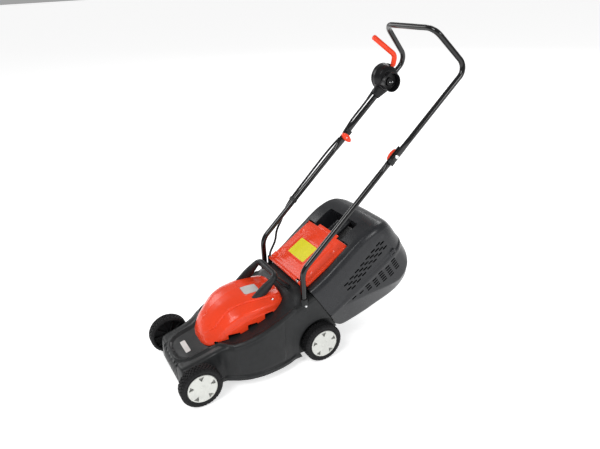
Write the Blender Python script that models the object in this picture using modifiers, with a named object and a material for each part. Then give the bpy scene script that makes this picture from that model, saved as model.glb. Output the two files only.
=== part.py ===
"""Corded electric rotary lawn mower, pushed by hand, with a grass box and a folding handle.

Metres, +Z up. The mower faces -Y, and +X is the operator's left. While it is being built, y = 0 is the
front axle and z = 0 is the ground; the last step moves everything so that the origin is at the middle
of the bounding box's bottom face.
"""

import math

import bmesh
import bpy
from mathutils import Matrix, Vector

# Overall sizes
TRACK_HALF = 0.190          # outer face of the wheels from the centre line
WHEELBASE = 0.436
WHEEL_RADIUS = 0.069
WHEEL_WIDTH = 0.042
CUT_TRAVEL = 0.030          # how far each axle moves between the lowest and the highest cut

# Walls and clearances
GAP = 0.0003                # between faces that touch
DECK_WALL = 0.0035
HOOD_WALL = 0.0025
BOX_WALL = 0.0025
SWITCH_WALL = 0.0025

# Deck
SKIRT_BOTTOM = 0.030
DECK_HALF = TRACK_HALF - 0.006
DECK_FRONT = -0.044
NOSE_HALF = TRACK_HALF - WHEEL_WIDTH - 0.008
FLANGE = 0.005
FLANGE_HEIGHT = 0.004
PANEL_HALF = TRACK_HALF - 0.032
WHEEL_POCKET = WHEEL_RADIUS + 0.014
POCKET_INNER = TRACK_HALF - WHEEL_WIDTH - 0.005
SIDE_PLATE = 0.004
CHAMBER_FRONT = 0.044

# Motor hood and carry handle
HOOD_FRONT = 0.058
HOOD_BACK = 0.344
HOOD_HALF = 0.108
HOOD_SCREW_X = 0.088
HOOD_SCREW_Y = 0.688 * WHEELBASE
DRAWN_WHEELBASE = 0.436     # the hood's stations and vents are drawn for this one
HOOD_SCREW_HEAD = 0.2385
HOOD_BOSS_RADIUS = 0.0065
VENTS = ((0.130, 0.170), (0.197, 0.232), (0.260, 0.292))
CARRY_HALF = 0.068
CARRY_FRONT_Y = 0.562 * WHEELBASE
CARRY_TOP_Y = 0.757 * WHEELBASE
CARRY_BACK_Y = 0.8624 * WHEELBASE
CARRY_LOW = 0.240
CARRY_TOP = 0.309

# Cutting set
MOTOR_Y = 0.493 * WHEELBASE
BLADE_RADIUS = DECK_HALF - 0.024
BLADE_BOTTOM = SKIRT_BOTTOM + 0.010
BLADE_THICK = 0.0035
BLADE_HALF_WIDTH = 0.021
CHAMBER_BACK = MOTOR_Y + BLADE_RADIUS + 0.010
WELL_RADIUS = 0.086
WELL_FLOOR = 0.116
SHAFT_RADIUS = 0.006
SHAFT_TOP = WELL_FLOOR + 0.127
CAN_RADIUS = 0.045
CAN_TOP = WELL_FLOOR + 0.110
BASE_THICK = 0.004
BEARING_RADIUS = 0.013
BEARING_HEIGHT = 0.009
FAN_RADIUS = 0.040
BOLT_HEAD_RADIUS = 0.0075
BLADE_BOLT_RADIUS = 0.0035
BLADE_BORE = BLADE_BOLT_RADIUS + GAP

# Axles
WHEELS = (("front", "left"), ("front", "right"), ("rear", "left"), ("rear", "right"))
AXLE_RADIUS = 0.005
AXLE_Z = WHEEL_RADIUS
NUT_RADIUS = 0.009
HUB_RADIUS = 0.012
CAP_SEAT = 0.713 * WHEEL_RADIUS
CAP_RADIUS = CAP_SEAT - 0.0004

# Rear opening: the deck meets the grass box in a plane that leans back
LEAN = math.radians(31.2)
SEAM_CLEAR = 0.00666        # between the rear wheels and the plane where the box meets the deck
HINGE_Z = 0.2745
HINGE_BACK = (WHEEL_RADIUS + SEAM_CLEAR + (AXLE_Z - HINGE_Z) * math.sin(LEAN)) / math.cos(LEAN)
HINGE = Vector((0.0, WHEELBASE + HINGE_BACK, HINGE_Z))
ALONG = Vector((0.0, math.cos(LEAN), math.sin(LEAN)))
ABOVE = Vector((0.0, -math.sin(LEAN), math.cos(LEAN)))
SEAM_U = 0.0015
SEAM_GAP = 0.0012
UNDERSIDE = WELL_FLOOR - 0.010

# Flap
FLAP_HALF = TRACK_HALF - 0.061
FLAP_LENGTH = 0.200
FLAP_TOP = 0.006
FLAP_THICK = 0.0025
FLAP_SKIRT = -0.0105
TONGUE_HALF = 0.062         # the middle of the flap reaches out over the grip
TONGUE_END = FLAP_LENGTH + 0.012
BARREL_RADIUS = 0.0062
PIN_RADIUS = 0.002
LUG_INNER = FLAP_HALF + 0.001
LUG_OUTER = LUG_INNER + 0.006
LUG_RADIUS = 0.007
SPRING_HALF = 0.011
SPRING_X = 0.085

# Grass box
BOX_HALF = TRACK_HALF - 0.017
BED_HALF = FLAP_HALF + 0.003
BED_LEVEL = FLAP_SKIRT - 0.002
BED_LENGTH = FLAP_LENGTH + 0.006
RECESS_HALF = 0.088
RECESS_START = 0.135
RECESS_END = 0.286
RECESS_LEVEL = -0.058
GRIP_HALF = 0.022
GRIP_TOP = BED_LEVEL - 0.001
GRIP_BOTTOM = GRIP_TOP - 0.018
SPLIT_LEVEL = -0.138

# Handle
TUBE_RADIUS = 0.0095
FLAT_HALF = 0.0042          # half thickness of a flattened tube end
FLAT_HEIGHT = 0.0125
FLAT_RUN = 0.105            # from a tube's end to where it is round again
LOWER_X = TRACK_HALF - 0.0405
UPPER_X = LOWER_X + 2 * FLAT_HALF + 0.0006
SOCKET_Y = WHEELBASE - 0.050
SOCKET_TOP = 0.244
SOCKET_DEPTH = 0.045
SOCKET_RADIUS = 0.0135      # outside; a thicker tube leaves a thinner wall
SOCKET_WALL = SOCKET_RADIUS - TUBE_RADIUS
BEND = Vector((0.0, SOCKET_Y, 0.3445))
RAKE = math.radians(41.65)  # of the straight run up to the bow
UP_TUBE = Vector((0.0, math.cos(RAKE), math.sin(RAKE)))
OFF_TUBE = Vector((0.0, -math.sin(RAKE), math.cos(RAKE)))
LOWER_RUN = 0.4825          # from the bend to the fold bolt
UPPER_RUN = 0.377           # from the fold bolt to the bow's corner
FOLD = BEND + LOWER_RUN * UP_TUBE
OVERLAP = 0.030
BOW_HALF = TRACK_HALF - 0.064
BOW_RISE = Vector((0.0, -0.117, 0.131))
BOLT_RADIUS = 0.003
KNOB_LENGTH = 0.023
KNOB_HEIGHT = 0.011
KNOB_THICK = 0.014

# Switch box
SWITCH_RUN = 0.265          # from the fold bolt to the box's middle
SWITCH_OFFSET = 0.026       # the box sits in front of the tube
SWITCH_RADIUS = 0.050
SWITCH = FOLD + SWITCH_RUN * UP_TUBE + SWITCH_OFFSET * OFF_TUBE
SPLIT_X = -UPPER_X
SHROUD_RADIUS = 0.035
SHROUD_BASE = 0.031         # from the split between the halves
SHROUD = SWITCH + Vector((0.0, -0.008, -0.011))
LEVER_X = SPLIT_X + 0.0205
LEVER_RADIUS = 0.0095
PIVOT = SWITCH + Vector((0.0, 0.0, 0.004))
PIVOT_RADIUS = 0.002
LEVER_EXIT = SWITCH + Vector((0.0, 0.027, 0.044))
LEVER_BEND = SWITCH + Vector((0.0, 0.034, 0.076))
LEVER_TIP = SWITCH + Vector((0.0, -0.059, 0.146))
BUTTON_RADIUS = 0.0085

# Cable
CABLE_RADIUS = 0.004
CABLE_X = -(UPPER_X + 0.015)
BESIDE = TUBE_RADIUS + CABLE_RADIUS + 0.002     # from a tube's centre line to the cable's
GLAND_RADIUS = 0.0063
GLAND_X = LOWER_X - 0.007
GLAND_Y = SOCKET_Y + 0.020
GLAND_TOP = 0.258
RELIEF_TOP = SWITCH_RUN - 0.055
RELIEF_END = RELIEF_TOP - 0.045
RELIEF_OFF = 2 * TUBE_RADIUS
FOLD_CLEAR = 0.012
CLIP_RUN = -0.300           # from the fold bolt to the middle of the clip
CLIP_HALF = 0.006

COLOURS = {
    "black_plastic": ((0.030, 0.030, 0.032), 0.45, 0.0),
    "dark_plastic": ((0.045, 0.047, 0.052), 0.40, 0.0),
    "red_plastic": ((1.0, 0.070, 0.025), 0.35, 0.0),
    "rubber": ((0.020, 0.020, 0.020), 0.75, 0.0),
    "silver_plastic": ((0.72, 0.73, 0.70), 0.40, 0.2),
    "black_paint": ((0.012, 0.012, 0.013), 0.25, 0.3),
    "steel": ((0.60, 0.60, 0.60), 0.30, 1.0),
    "dark_steel": ((0.20, 0.20, 0.21), 0.45, 1.0),
    "copper": ((0.70, 0.35, 0.20), 0.40, 1.0),
    "brass": ((0.80, 0.60, 0.30), 0.30, 1.0),
}

parts = []
pivots = {}
part_collection = None
cutter_collection = None


# ---------------------------------------------------------------- scene and bodies

def clear_scene():
    for old in list(bpy.data.objects):
        bpy.data.objects.remove(old, do_unlink=True)


def new_collection(name):
    collection = bpy.data.collections.new(name)
    bpy.context.scene.collection.children.link(collection)
    return collection


def make_pivot(name, place, parent=None):
    """An empty on a body's joint axis; the body's pieces hang from it."""
    empty = bpy.data.objects.new(name + "_pivot", None)
    empty.empty_display_size = 0.02
    part_collection.objects.link(empty)
    place = Vector(place)
    if parent:
        empty.parent = pivots[parent][0]
        empty.location = place - pivots[parent][1]
    else:
        empty.location = place
    pivots[name] = (empty, place)


def make_material(name):
    material = bpy.data.materials.get(name)
    if material is None:
        colour, roughness, metallic = COLOURS[name]
        material = bpy.data.materials.new(name)
        material.use_nodes = True
        shader = material.node_tree.nodes["Principled BSDF"]
        shader.inputs["Base Color"].default_value = (*colour, 1.0)
        shader.inputs["Roughness"].default_value = roughness
        shader.inputs["Metallic"].default_value = metallic
    return material


def add_part(piece, name, body, material):
    """Name a solid, give it its material and hang it on its body."""
    empty, place = pivots[body]
    piece.name = name
    piece.data.name = name
    piece.data.materials.clear()
    piece.data.materials.append(make_material(material))
    part_collection.objects.link(piece)
    piece.parent = empty
    piece.location = piece.location - place
    parts.append(piece)
    return piece


def add_cutter(piece, name):
    empty, place = pivots["root"]
    piece.name = name
    piece.hide_render = True
    piece.display_type = "WIRE"
    cutter_collection.objects.link(piece)
    piece.parent = empty
    piece.location = piece.location - place
    return piece


# ---------------------------------------------------------------- shapes

def mesh_object(bm, name, smooth=True):
    mesh = bpy.data.meshes.new(name)
    bm.to_mesh(mesh)
    bm.free()
    if smooth:
        mesh.shade_smooth()
        mesh.set_sharp_from_angle(angle=math.radians(35))
    return bpy.data.objects.new(name, mesh)


def block(low, high, name="block"):
    """A box between two corners, each given as (x, y, z)."""
    low = Vector(low)
    high = Vector(high)
    bm = bmesh.new()
    size = Matrix.Diagonal((*(high - low), 1.0))
    bmesh.ops.create_cube(bm, size=1.0, matrix=Matrix.Translation((low + high) / 2) @ size)
    return mesh_object(bm, name, smooth=False)


def rear_matrix():
    """Turns (x, up, along) of the leaning rear frame, measured from the flap's hinge, into world axes."""
    turn = Matrix((Vector((1, 0, 0)), ABOVE, ALONG)).transposed().to_4x4()
    return Matrix.Translation(HINGE) @ turn


def rear_point(x, along, above):
    return Vector((x, 0.0, 0.0)) + HINGE + along * ALONG + above * ABOVE


def rear_block(half_x, along, above, centre_x=0.0):
    """A box in the leaning frame: its half width, and its two ends along and above the flap's plane."""
    piece = block((centre_x - half_x, above[0], along[0]), (centre_x + half_x, above[1], along[1]))
    piece.data.transform(rear_matrix())
    piece.data.flip_normals()       # (x, up, along) is a left-handed set
    return piece


def rod(start, end, radius, sides=16, end_radius=None):
    """A round bar, or a cone where the end radius differs."""
    start = Vector(start)
    end = Vector(end)
    line = end - start
    turn = line.to_track_quat("Z", "Y").to_matrix().to_4x4()
    bm = bmesh.new()
    bmesh.ops.create_cone(bm, cap_ends=True, segments=sides, radius1=radius,
                          radius2=radius if end_radius is None else end_radius, depth=line.length,
                          matrix=Matrix.Translation((start + end) / 2) @ turn)
    return mesh_object(bm, "rod")


def turned(profile, place, axis, steps=24, closed=False):
    """A profile of (radius, height) turned about an axis. It runs down the outer side, top to bottom."""
    mesh = bpy.data.meshes.new("turned")
    points = [(radius, 0.0, height) for radius, height in profile]
    edges = [(i, i + 1) for i in range(len(points) - 1)]
    if closed:
        edges.append((len(points) - 1, 0))
    mesh.from_pydata(points, edges, [])
    piece = bpy.data.objects.new("turned", mesh)
    piece.rotation_mode = "QUATERNION"
    piece.rotation_quaternion = Vector(axis).to_track_quat("Z", "Y")
    piece.location = Vector(place)
    screw = piece.modifiers.new("Turn", "SCREW")
    screw.axis = "Z"
    screw.steps = steps
    screw.render_steps = steps
    screw.use_merge_vertices = True
    screw.merge_threshold = 0.00001
    screw.use_smooth_shade = True
    return piece


def loft(rings):
    """A closed solid through rings of points that match one for one, with flat ends."""
    bm = bmesh.new()
    rows = [[bm.verts.new(point) for point in ring] for ring in rings]
    count = len(rows[0])
    for row, following in zip(rows, rows[1:]):
        for i in range(count):
            j = (i + 1) % count
            bm.faces.new((row[i], row[j], following[j], following[i]))
    bm.faces.new(list(reversed(rows[0])))
    bm.faces.new(rows[-1])
    bmesh.ops.recalc_face_normals(bm, faces=bm.faces)
    bmesh.ops.triangulate(bm, faces=bm.faces)
    return mesh_object(bm, "loft")


def both_sides(half):
    """A whole ring from its right half, which runs from the bottom centre to the top centre."""
    return half + [(-x, z) for x, z in reversed(half[1:-1])]


def sweep(stations, sides=12):
    """A bar along stations of (point, half thickness across, half height), for flattened tubes."""
    rings = []
    across = Vector((1, 0, 0))
    for i, (point, half_x, half_n) in enumerate(stations):
        before = stations[max(i - 1, 0)][0]
        after = stations[min(i + 1, len(stations) - 1)][0]
        tangent = (Vector(after) - Vector(before)).normalized()
        across = (across - tangent * across.dot(tangent)).normalized()
        normal = tangent.cross(across)
        angles = [2 * math.pi * k / sides for k in range(sides)]
        rings.append([Vector(point) + across * half_x * math.cos(a) + normal * half_n * math.sin(a)
                      for a in angles])
    return loft(rings)


def rounded_path(corners, radius, steps=5):
    """The corners of a path, with each inner corner replaced by an arc of the radius."""
    points = [Vector(corners[0])]
    for before, corner, after in zip(corners, corners[1:], corners[2:]):
        inward = (Vector(before) - Vector(corner)).normalized()
        outward = (Vector(after) - Vector(corner)).normalized()
        half = inward.angle(outward) / 2
        reach = radius / math.tan(half)
        centre = Vector(corner) + (inward + outward).normalized() * radius / math.sin(half)
        start = Vector(corner) + inward * reach - centre
        end = Vector(corner) + outward * reach - centre
        span = start.angle(end)
        for k in range(steps + 1):
            share = k / steps
            points.append(centre + (start * math.sin((1 - share) * span)
                                    + end * math.sin(share * span)) / math.sin(span))
    points.append(Vector(corners[-1]))
    return points


def wire(points, radius, name, resolution=2):
    """A round wire along a poly spline, with filled ends, made a welded mesh."""
    curve = bpy.data.curves.new(name, "CURVE")
    curve.dimensions = "3D"
    curve.bevel_depth = radius
    curve.bevel_resolution = resolution
    curve.use_fill_caps = True
    spline = curve.splines.new("POLY")
    spline.points.add(len(points) - 1)
    for control, point in zip(spline.points, points):
        control.co = (*point, 1.0)
    holder = bpy.data.objects.new(name, curve)
    return curve_to_mesh(holder, name)


def curve_to_mesh(holder, name):
    bpy.context.scene.collection.objects.link(holder)
    bpy.context.view_layer.update()
    evaluated = holder.evaluated_get(bpy.context.evaluated_depsgraph_get())
    mesh = bpy.data.meshes.new_from_object(evaluated)
    piece = bpy.data.objects.new(name, mesh)
    piece.matrix_world = holder.matrix_world
    curve = holder.data
    bpy.data.objects.remove(holder)
    bpy.data.curves.remove(curve)
    bm = bmesh.new()
    bm.from_mesh(mesh)
    bmesh.ops.remove_doubles(bm, verts=bm.verts, dist=0.00001)
    bmesh.ops.recalc_face_normals(bm, faces=bm.faces)
    bm.to_mesh(mesh)
    bm.free()
    mesh.shade_smooth()
    return piece


def coil(centre, radius, wire_radius, length, turns, name, per_turn=7):
    """A helical spring of round wire along X, its middle at the centre."""
    count = int(turns * per_turn)
    points = []
    for k in range(count + 1):
        angle = 2 * math.pi * k / per_turn
        x = centre[0] + (k / count - 0.5) * length
        points.append((x, centre[1] + radius * math.cos(angle), centre[2] + radius * math.sin(angle)))
    return wire(points, wire_radius, name, resolution=1)


def smooth_route(corners, per_span=4):
    """A smooth curve through hand-placed points (Catmull-Rom)."""
    points = [Vector(corner) for corner in corners]
    padded = [points[0] * 2 - points[1]] + points + [points[-1] * 2 - points[-2]]
    route = []
    for a, b, c, d in zip(padded, padded[1:], padded[2:], padded[3:]):
        for k in range(per_span):
            t = k / per_span
            route.append(0.5 * (2 * b + (c - a) * t + (2 * a - 5 * b + 4 * c - d) * t * t
                                + (3 * b - a - 3 * c + d) * t ** 3))
    route.append(points[-1])
    return route


def combine(piece, tool, operation, solver="EXACT"):
    """Large thin shells need the MANIFOLD solver, because EXACT loses them."""
    step = piece.modifiers.new(operation.title(), "BOOLEAN")
    step.operation = operation
    step.solver = solver
    step.object = tool


def cut(piece, tool, name, solver="EXACT"):
    combine(piece, add_cutter(tool, name), "DIFFERENCE", solver)


def keep_inside(piece, tool, name, solver="EXACT"):
    combine(piece, add_cutter(tool, name), "INTERSECT", solver)


def join(piece, tool, name, solver="EXACT"):
    combine(piece, add_cutter(tool, name), "UNION", solver)


def mirrored(side, x):
    return x if side == "left" else -x


# ---------------------------------------------------------------- deck

def deck_stations():
    """Along the deck: y, half width at the skirt, half width and height of the shoulder ridge, height
    inside the ridge, and height on the centre line."""
    nose = NOSE_HALF
    panel = PANEL_HALF
    back = WHEELBASE

    def bulge(y):
        depth = 0.19 if y < MOTOR_Y else 0.25
        return DECK_HALF * math.sqrt(1 - ((y - MOTOR_Y - 0.004) / depth) ** 2)

    return [
        (DECK_FRONT, nose * 0.72, nose * 0.66, 0.094, 0.094, 0.094),
        (DECK_FRONT + 0.007, nose * 0.89, nose * 0.80, 0.102, 0.101, 0.100),
        (DECK_FRONT + 0.020, nose * 0.975, nose * 0.83, 0.106, 0.104, 0.103),
        (0.000, nose, nose * 0.840, 0.112, 0.110, 0.109),
        (0.092 * back, nose, nose * 0.850, 0.122, 0.119, 0.118),
        (0.165 * back, nose, nose * 0.880, 0.133, 0.128, 0.127),
        (0.206 * back, nose, nose * 0.930, 0.142, 0.138, 0.136),
        (0.245 * back, bulge(0.245 * back), nose * 0.985, 0.149, 0.147, 0.147),
        (0.300 * back, bulge(0.300 * back), bulge(0.300 * back) - 0.016, 0.152, 0.152, 0.153),
        (0.390 * back, bulge(0.390 * back), bulge(0.390 * back) - 0.017, 0.160, 0.161, 0.163),
        (0.500 * back, bulge(0.500 * back), bulge(0.500 * back) - 0.017, 0.173, 0.175, 0.178),
        (0.620 * back, bulge(0.620 * back), bulge(0.620 * back) - 0.016, 0.189, 0.192, 0.196),
        (0.710 * back, bulge(0.710 * back), panel + 0.001, 0.203, 0.208, 0.214),
        (0.780 * back, bulge(0.780 * back), panel, 0.214, 0.226, 0.234),
        (0.830 * back, panel + 0.002, panel, 0.222, 0.246, 0.254),
        (0.880 * back, panel + 0.001, panel, 0.230, 0.259, 0.263),
        (1.000 * back, panel + 0.001, panel, 0.248, 0.263, 0.264),
        (1.300 * back, panel + 0.001, panel, 0.260, 0.264, 0.265),
    ]


def deck_station_at(y):
    rows = deck_stations()
    for row, following in zip(rows, rows[1:]):
        if y <= following[0]:
            share = (y - row[0]) / (following[0] - row[0])
            return tuple(a + (b - a) * share for a, b in zip(row, following))
    return rows[-1]


def deck_ring(row, inset, bottom):
    """One closed ring of the deck's form, set in by a wall, or out where the inset is negative."""
    y, skirt, shoulder, ridge, inner, centre = row
    flange = FLANGE if inset <= 0 else 0.0
    low = SKIRT_BOTTOM
    half = [
        (0.0, bottom),
        (skirt + flange - inset, bottom),
        (skirt + flange - inset, low + FLANGE_HEIGHT),
        (skirt - inset, low + FLANGE_HEIGHT + 0.003),
        ((skirt + shoulder) / 2 + 0.003 - inset, (low + ridge) / 2),
        (shoulder + 0.004 - inset, ridge - 0.014 - inset * 0.5),
        (shoulder - 0.001 - inset, ridge - 0.003 - inset),
        (shoulder - 0.012 - inset * 0.5, ridge - inset),
        (shoulder * 0.66, inner - inset),
        (0.0, centre - inset),
    ]
    return [(x, y, z) for x, z in both_sides(half)]


def deck_form(inset, start, end, bottom):
    rows = [deck_station_at(start)]
    rows += [row for row in deck_stations() if start + 0.002 < row[0] < end - 0.002]
    rows.append(deck_station_at(end))
    rows[0] = (start, *rows[0][1:])
    rows[-1] = (end, *rows[-1][1:])
    return loft([deck_ring(row, inset, bottom) for row in rows])


def wheel_pocket(side, grow):
    x_in = mirrored(side, POCKET_INNER - grow)
    x_out = mirrored(side, TRACK_HALF + 0.05)
    centre = (WHEELBASE, AXLE_Z)
    return rod((x_in, *centre), (x_out, *centre), WHEEL_POCKET + grow, sides=32)


def make_deck():
    deck = deck_form(0.0, DECK_FRONT, 1.3 * WHEELBASE, SKIRT_BOTTOM)
    add_part(deck, "deck", "root", "black_plastic")
    seam = SEAM_U + HINGE.y

    cut(deck, rear_block(0.4, (SEAM_U, 0.5), (-0.5, 0.3)), "behind_seam")
    far = WHEELBASE
    cut(deck, block((-POCKET_INNER + SIDE_PLATE, CHAMBER_BACK + DECK_WALL, -0.02),
                    (POCKET_INNER - SIDE_PLATE, seam + far, UNDERSIDE)), "rear_underside")
    cut(deck, block((-0.3, WHEELBASE + 0.020, -0.1), (0.3, seam + far, AXLE_Z + 0.020)), "behind_wheels")
    for side in ("left", "right"):
        cut(deck, wheel_pocket(side, 0.0), "pocket_" + side)
    cut(deck, rod((0, MOTOR_Y, WELL_FLOOR), (0, MOTOR_Y, 0.4), WELL_RADIUS, sides=28), "motor_well")

    chamber = deck_form(DECK_WALL, CHAMBER_FRONT, 1.25 * WHEELBASE, SKIRT_BOTTOM - 0.02)
    add_cutter(chamber, "chamber")
    cut(chamber, block((-0.3, CHAMBER_BACK, -0.05), (0.3, seam + far, UNDERSIDE + DECK_WALL)),
        "under_tunnel")
    for side in ("left", "right"):
        cut(chamber, wheel_pocket(side, DECK_WALL), "around_pocket_" + side)
    cut(chamber, rod((0, MOTOR_Y, WELL_FLOOR - DECK_WALL), (0, MOTOR_Y, 0.5),
                     WELL_RADIUS + DECK_WALL, sides=28), "around_well")
    for side in ("left", "right"):
        cut(chamber, socket_boss(side), "around_socket_" + side)
    combine(deck, chamber, "DIFFERENCE")

    nose = deck_form(DECK_WALL, DECK_FRONT + DECK_WALL, CHAMBER_FRONT - DECK_WALL, SKIRT_BOTTOM - 0.02)
    cut(deck, nose, "nose_hollow")

    for y, name in ((0.0, "front"), (WHEELBASE, "rear")):
        slot = AXLE_RADIUS + GAP
        cut(deck, block((-0.3, y - slot, AXLE_Z - CUT_TRAVEL - slot), (0.3, y + slot, AXLE_Z + slot)),
            name + "_axle_slots")
    cut(deck, rod((0, MOTOR_Y, WELL_FLOOR - 0.02), (0, MOTOR_Y, WELL_FLOOR + 0.01),
                  BEARING_RADIUS + 0.002), "shaft_hole")

    for side in ("left", "right"):
        join(deck, socket_boss(side), "socket_boss_" + side)
        low = (mirrored(side, LOWER_X), SOCKET_Y, SOCKET_TOP - SOCKET_DEPTH)
        high = (mirrored(side, LOWER_X), SOCKET_Y, SOCKET_TOP + 0.05)
        cut(deck, rod(low, high, TUBE_RADIUS + GAP, sides=28), "socket_bore_" + side)
        cut(deck, socket_screw_shape(side, GAP), "socket_screw_hole_" + side)
        join(deck, hinge_lug(side), "hinge_lug_" + side)
        cut(deck, rod((mirrored(side, LUG_INNER - 0.002), HINGE.y, HINGE.z),
                      (mirrored(side, LUG_OUTER + 0.002), HINGE.y, HINGE.z), PIN_RADIUS + GAP, sides=12),
            "lug_hole_" + side)
    cut(deck, rod((-GLAND_X, GLAND_Y, 0.2), (-GLAND_X, GLAND_Y, 0.3), CABLE_RADIUS + GAP), "cable_hole")
    return deck


def socket_boss(side):
    x = mirrored(side, LOWER_X)
    return rod((x, SOCKET_Y, SOCKET_TOP - SOCKET_DEPTH - SOCKET_WALL), (x, SOCKET_Y, SOCKET_TOP),
               TUBE_RADIUS + SOCKET_WALL, sides=20)


def hinge_lug(side):
    inner = mirrored(side, LUG_INNER)
    outer = mirrored(side, LUG_OUTER)
    low = min(inner, outer)
    high = max(inner, outer)
    return block((low, HINGE.y - LUG_RADIUS, HINGE.z - 0.040),
                 (high, HINGE.y + 0.006, HINGE.z + LUG_RADIUS))


def socket_screw_shape(side, grow):
    x = mirrored(side, LOWER_X)
    reach = TUBE_RADIUS + SOCKET_WALL + 0.006
    z = SOCKET_TOP - SOCKET_DEPTH / 2
    return rod((x, SOCKET_Y, z), (x + mirrored(side, reach), SOCKET_Y, z), PIN_RADIUS + grow, sides=12)


# ---------------------------------------------------------------- hood and carry handle

def hood_stations():
    """Along the hood: y, half width, then half width and height of the shelf's outer edge and of the
    crease where the dome rises from it, and the top's height."""
    return [
        (HOOD_FRONT, 0.030, 0.026, 0.140, 0.018, 0.146, 0.150),
        (HOOD_FRONT + 0.006, 0.052, 0.046, 0.146, 0.034, 0.158, 0.166),
        (0.075, 0.070, 0.062, 0.150, 0.046, 0.168, 0.184),
        (0.095, 0.086, 0.078, 0.163, 0.060, 0.182, 0.207),
        (0.120, 0.097, 0.091, 0.193, 0.066, 0.208, 0.230),
        (0.150, 0.104, 0.099, 0.216, 0.067, 0.235, 0.248),
        (0.190, HOOD_HALF, 0.103, 0.230, 0.071, 0.2475, 0.261),
        (0.240, HOOD_HALF, 0.104, 0.234, 0.077, 0.250, 0.266),
        (0.290, 0.104, 0.100, 0.2355, 0.077, 0.2465, 0.262),
        (0.320, 0.096, 0.092, 0.235, 0.074, 0.244, 0.256),
        (0.338, 0.084, 0.080, 0.232, 0.066, 0.240, 0.251),
        (HOOD_BACK, 0.074, 0.070, 0.228, 0.058, 0.235, 0.246),
    ]


def hood_form(inset, drop):
    """The hood's outer form, set in by a wall; its lower edge hangs below the deck's top."""
    rings = []
    rows = hood_stations()
    scale = WHEELBASE / DRAWN_WHEELBASE
    for i, (y, half, shelf, shelf_z, crease, crease_z, top) in enumerate(rows):
        if i == 0:
            y += inset
        if i == len(rows) - 1:
            y -= inset
        deck_row = deck_station_at(y * scale)
        low = deck_row[4] - drop
        edge = deck_row[4]
        ring = [
            (0.0, low),
            (half - inset, low),
            (half - inset, edge + 0.006),
            (shelf + 0.002 - inset, shelf_z - 0.007 - inset * 0.5),
            (shelf - 0.005 - inset * 0.7, shelf_z - inset),
            (crease - inset * 0.5, crease_z - inset),
            (crease * 0.6, top - 0.22 * (top - crease_z) - inset),
            (0.0, top - inset),
        ]
        rings.append([(x, y * scale, z) for x, z in both_sides(ring)])
    return loft(rings)


def make_hood():
    hood = hood_form(0.0, 0.012)
    add_part(hood, "motor_hood", "root", "red_plastic")
    cut(hood, hood_form(HOOD_WALL, 0.030), "hood_hollow", "MANIFOLD")
    cut(hood, deck_form(-GAP, DECK_FRONT - 0.001, 0.9 * WHEELBASE, 0.0), "deck_under_hood", "MANIFOLD")
    scale = WHEELBASE / DRAWN_WHEELBASE
    for i, (start, end) in enumerate(VENTS):
        start *= scale
        end *= scale
        floor = deck_station_at((start + end) / 2)[4]
        for side in ("left", "right"):
            x_in = mirrored(side, HOOD_HALF - 0.025)
            x_out = mirrored(side, HOOD_HALF + 0.020)
            cut(hood, block((min(x_in, x_out), start, floor - 0.02), (max(x_in, x_out), end, floor + 0.007)),
                "vent_%d_%s" % (i, side))
    for side in ("left", "right"):
        x = mirrored(side, HOOD_SCREW_X)
        y = HOOD_SCREW_Y
        bottom = deck_station_at(y)[4]
        boss = rod((x, y, HOOD_SCREW_HEAD - 0.013), (x, y, HOOD_SCREW_HEAD + 0.0015), HOOD_BOSS_RADIUS)
        join(hood, boss, "hood_screw_boss_" + side, "MANIFOLD")
        hole = rod((x, y, bottom - 0.02), (x, y, HOOD_SCREW_HEAD + 0.02), PIN_RADIUS + GAP, sides=12)
        cut(hood, hole, "hood_screw_hole_" + side)
    return hood


def make_hood_screws():
    for side in ("left", "right"):
        x = mirrored(side, HOOD_SCREW_X)
        y = HOOD_SCREW_Y
        head = HOOD_SCREW_HEAD
        profile = [(0.0, head + 0.003), (0.0040, head + 0.0022), (0.0045, head),
                   (PIN_RADIUS, head), (PIN_RADIUS, head - 0.014), (0.0, head - 0.014)]
        screw = turned(profile, (x, y, 0.0), (0, 0, 1), steps=12)
        add_part(screw, "hood_screw_" + side, "root", "steel")
        cut(bpy.data.objects["motor_hood"],
            rod((x, y, head - GAP), (x, y, head + 0.02), 0.0045 + GAP, sides=16), "screw_seat_" + side)


def make_carry_handle():
    def front_leg(sign):
        return Vector((sign * CARRY_HALF, CARRY_FRONT_Y, CARRY_LOW))

    def corner(sign):
        return Vector((sign * CARRY_HALF, CARRY_TOP_Y, CARRY_TOP))

    path = rounded_path([front_leg(1), corner(1), corner(-1), front_leg(-1)], 0.018, steps=3)
    handle = sweep([(point, 0.010, 0.009) for point in path], sides=10)
    add_part(handle, "carry_handle", "root", "black_plastic")
    for side in ("left", "right"):
        x = mirrored(side, CARRY_HALF)
        strut = sweep([(Vector((x, CARRY_TOP_Y - 0.004, CARRY_TOP - 0.006)), 0.009, 0.008),
                       (Vector((x, CARRY_BACK_Y, 0.250)), 0.010, 0.009)], sides=10)
        join(handle, strut, "carry_strut_" + side)
    cut(handle, hood_form(-GAP, 0.05), "hood_under_handle")
    cut(handle, deck_form(-GAP, DECK_FRONT - 0.001, 1.1 * WHEELBASE, 0.0), "deck_under_handle")
    return handle


# ---------------------------------------------------------------- motor and cutting set

def ring_profile(inner, outer, bottom, top):
    return [(inner, top), (outer, top), (outer, bottom), (inner, bottom)]


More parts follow.
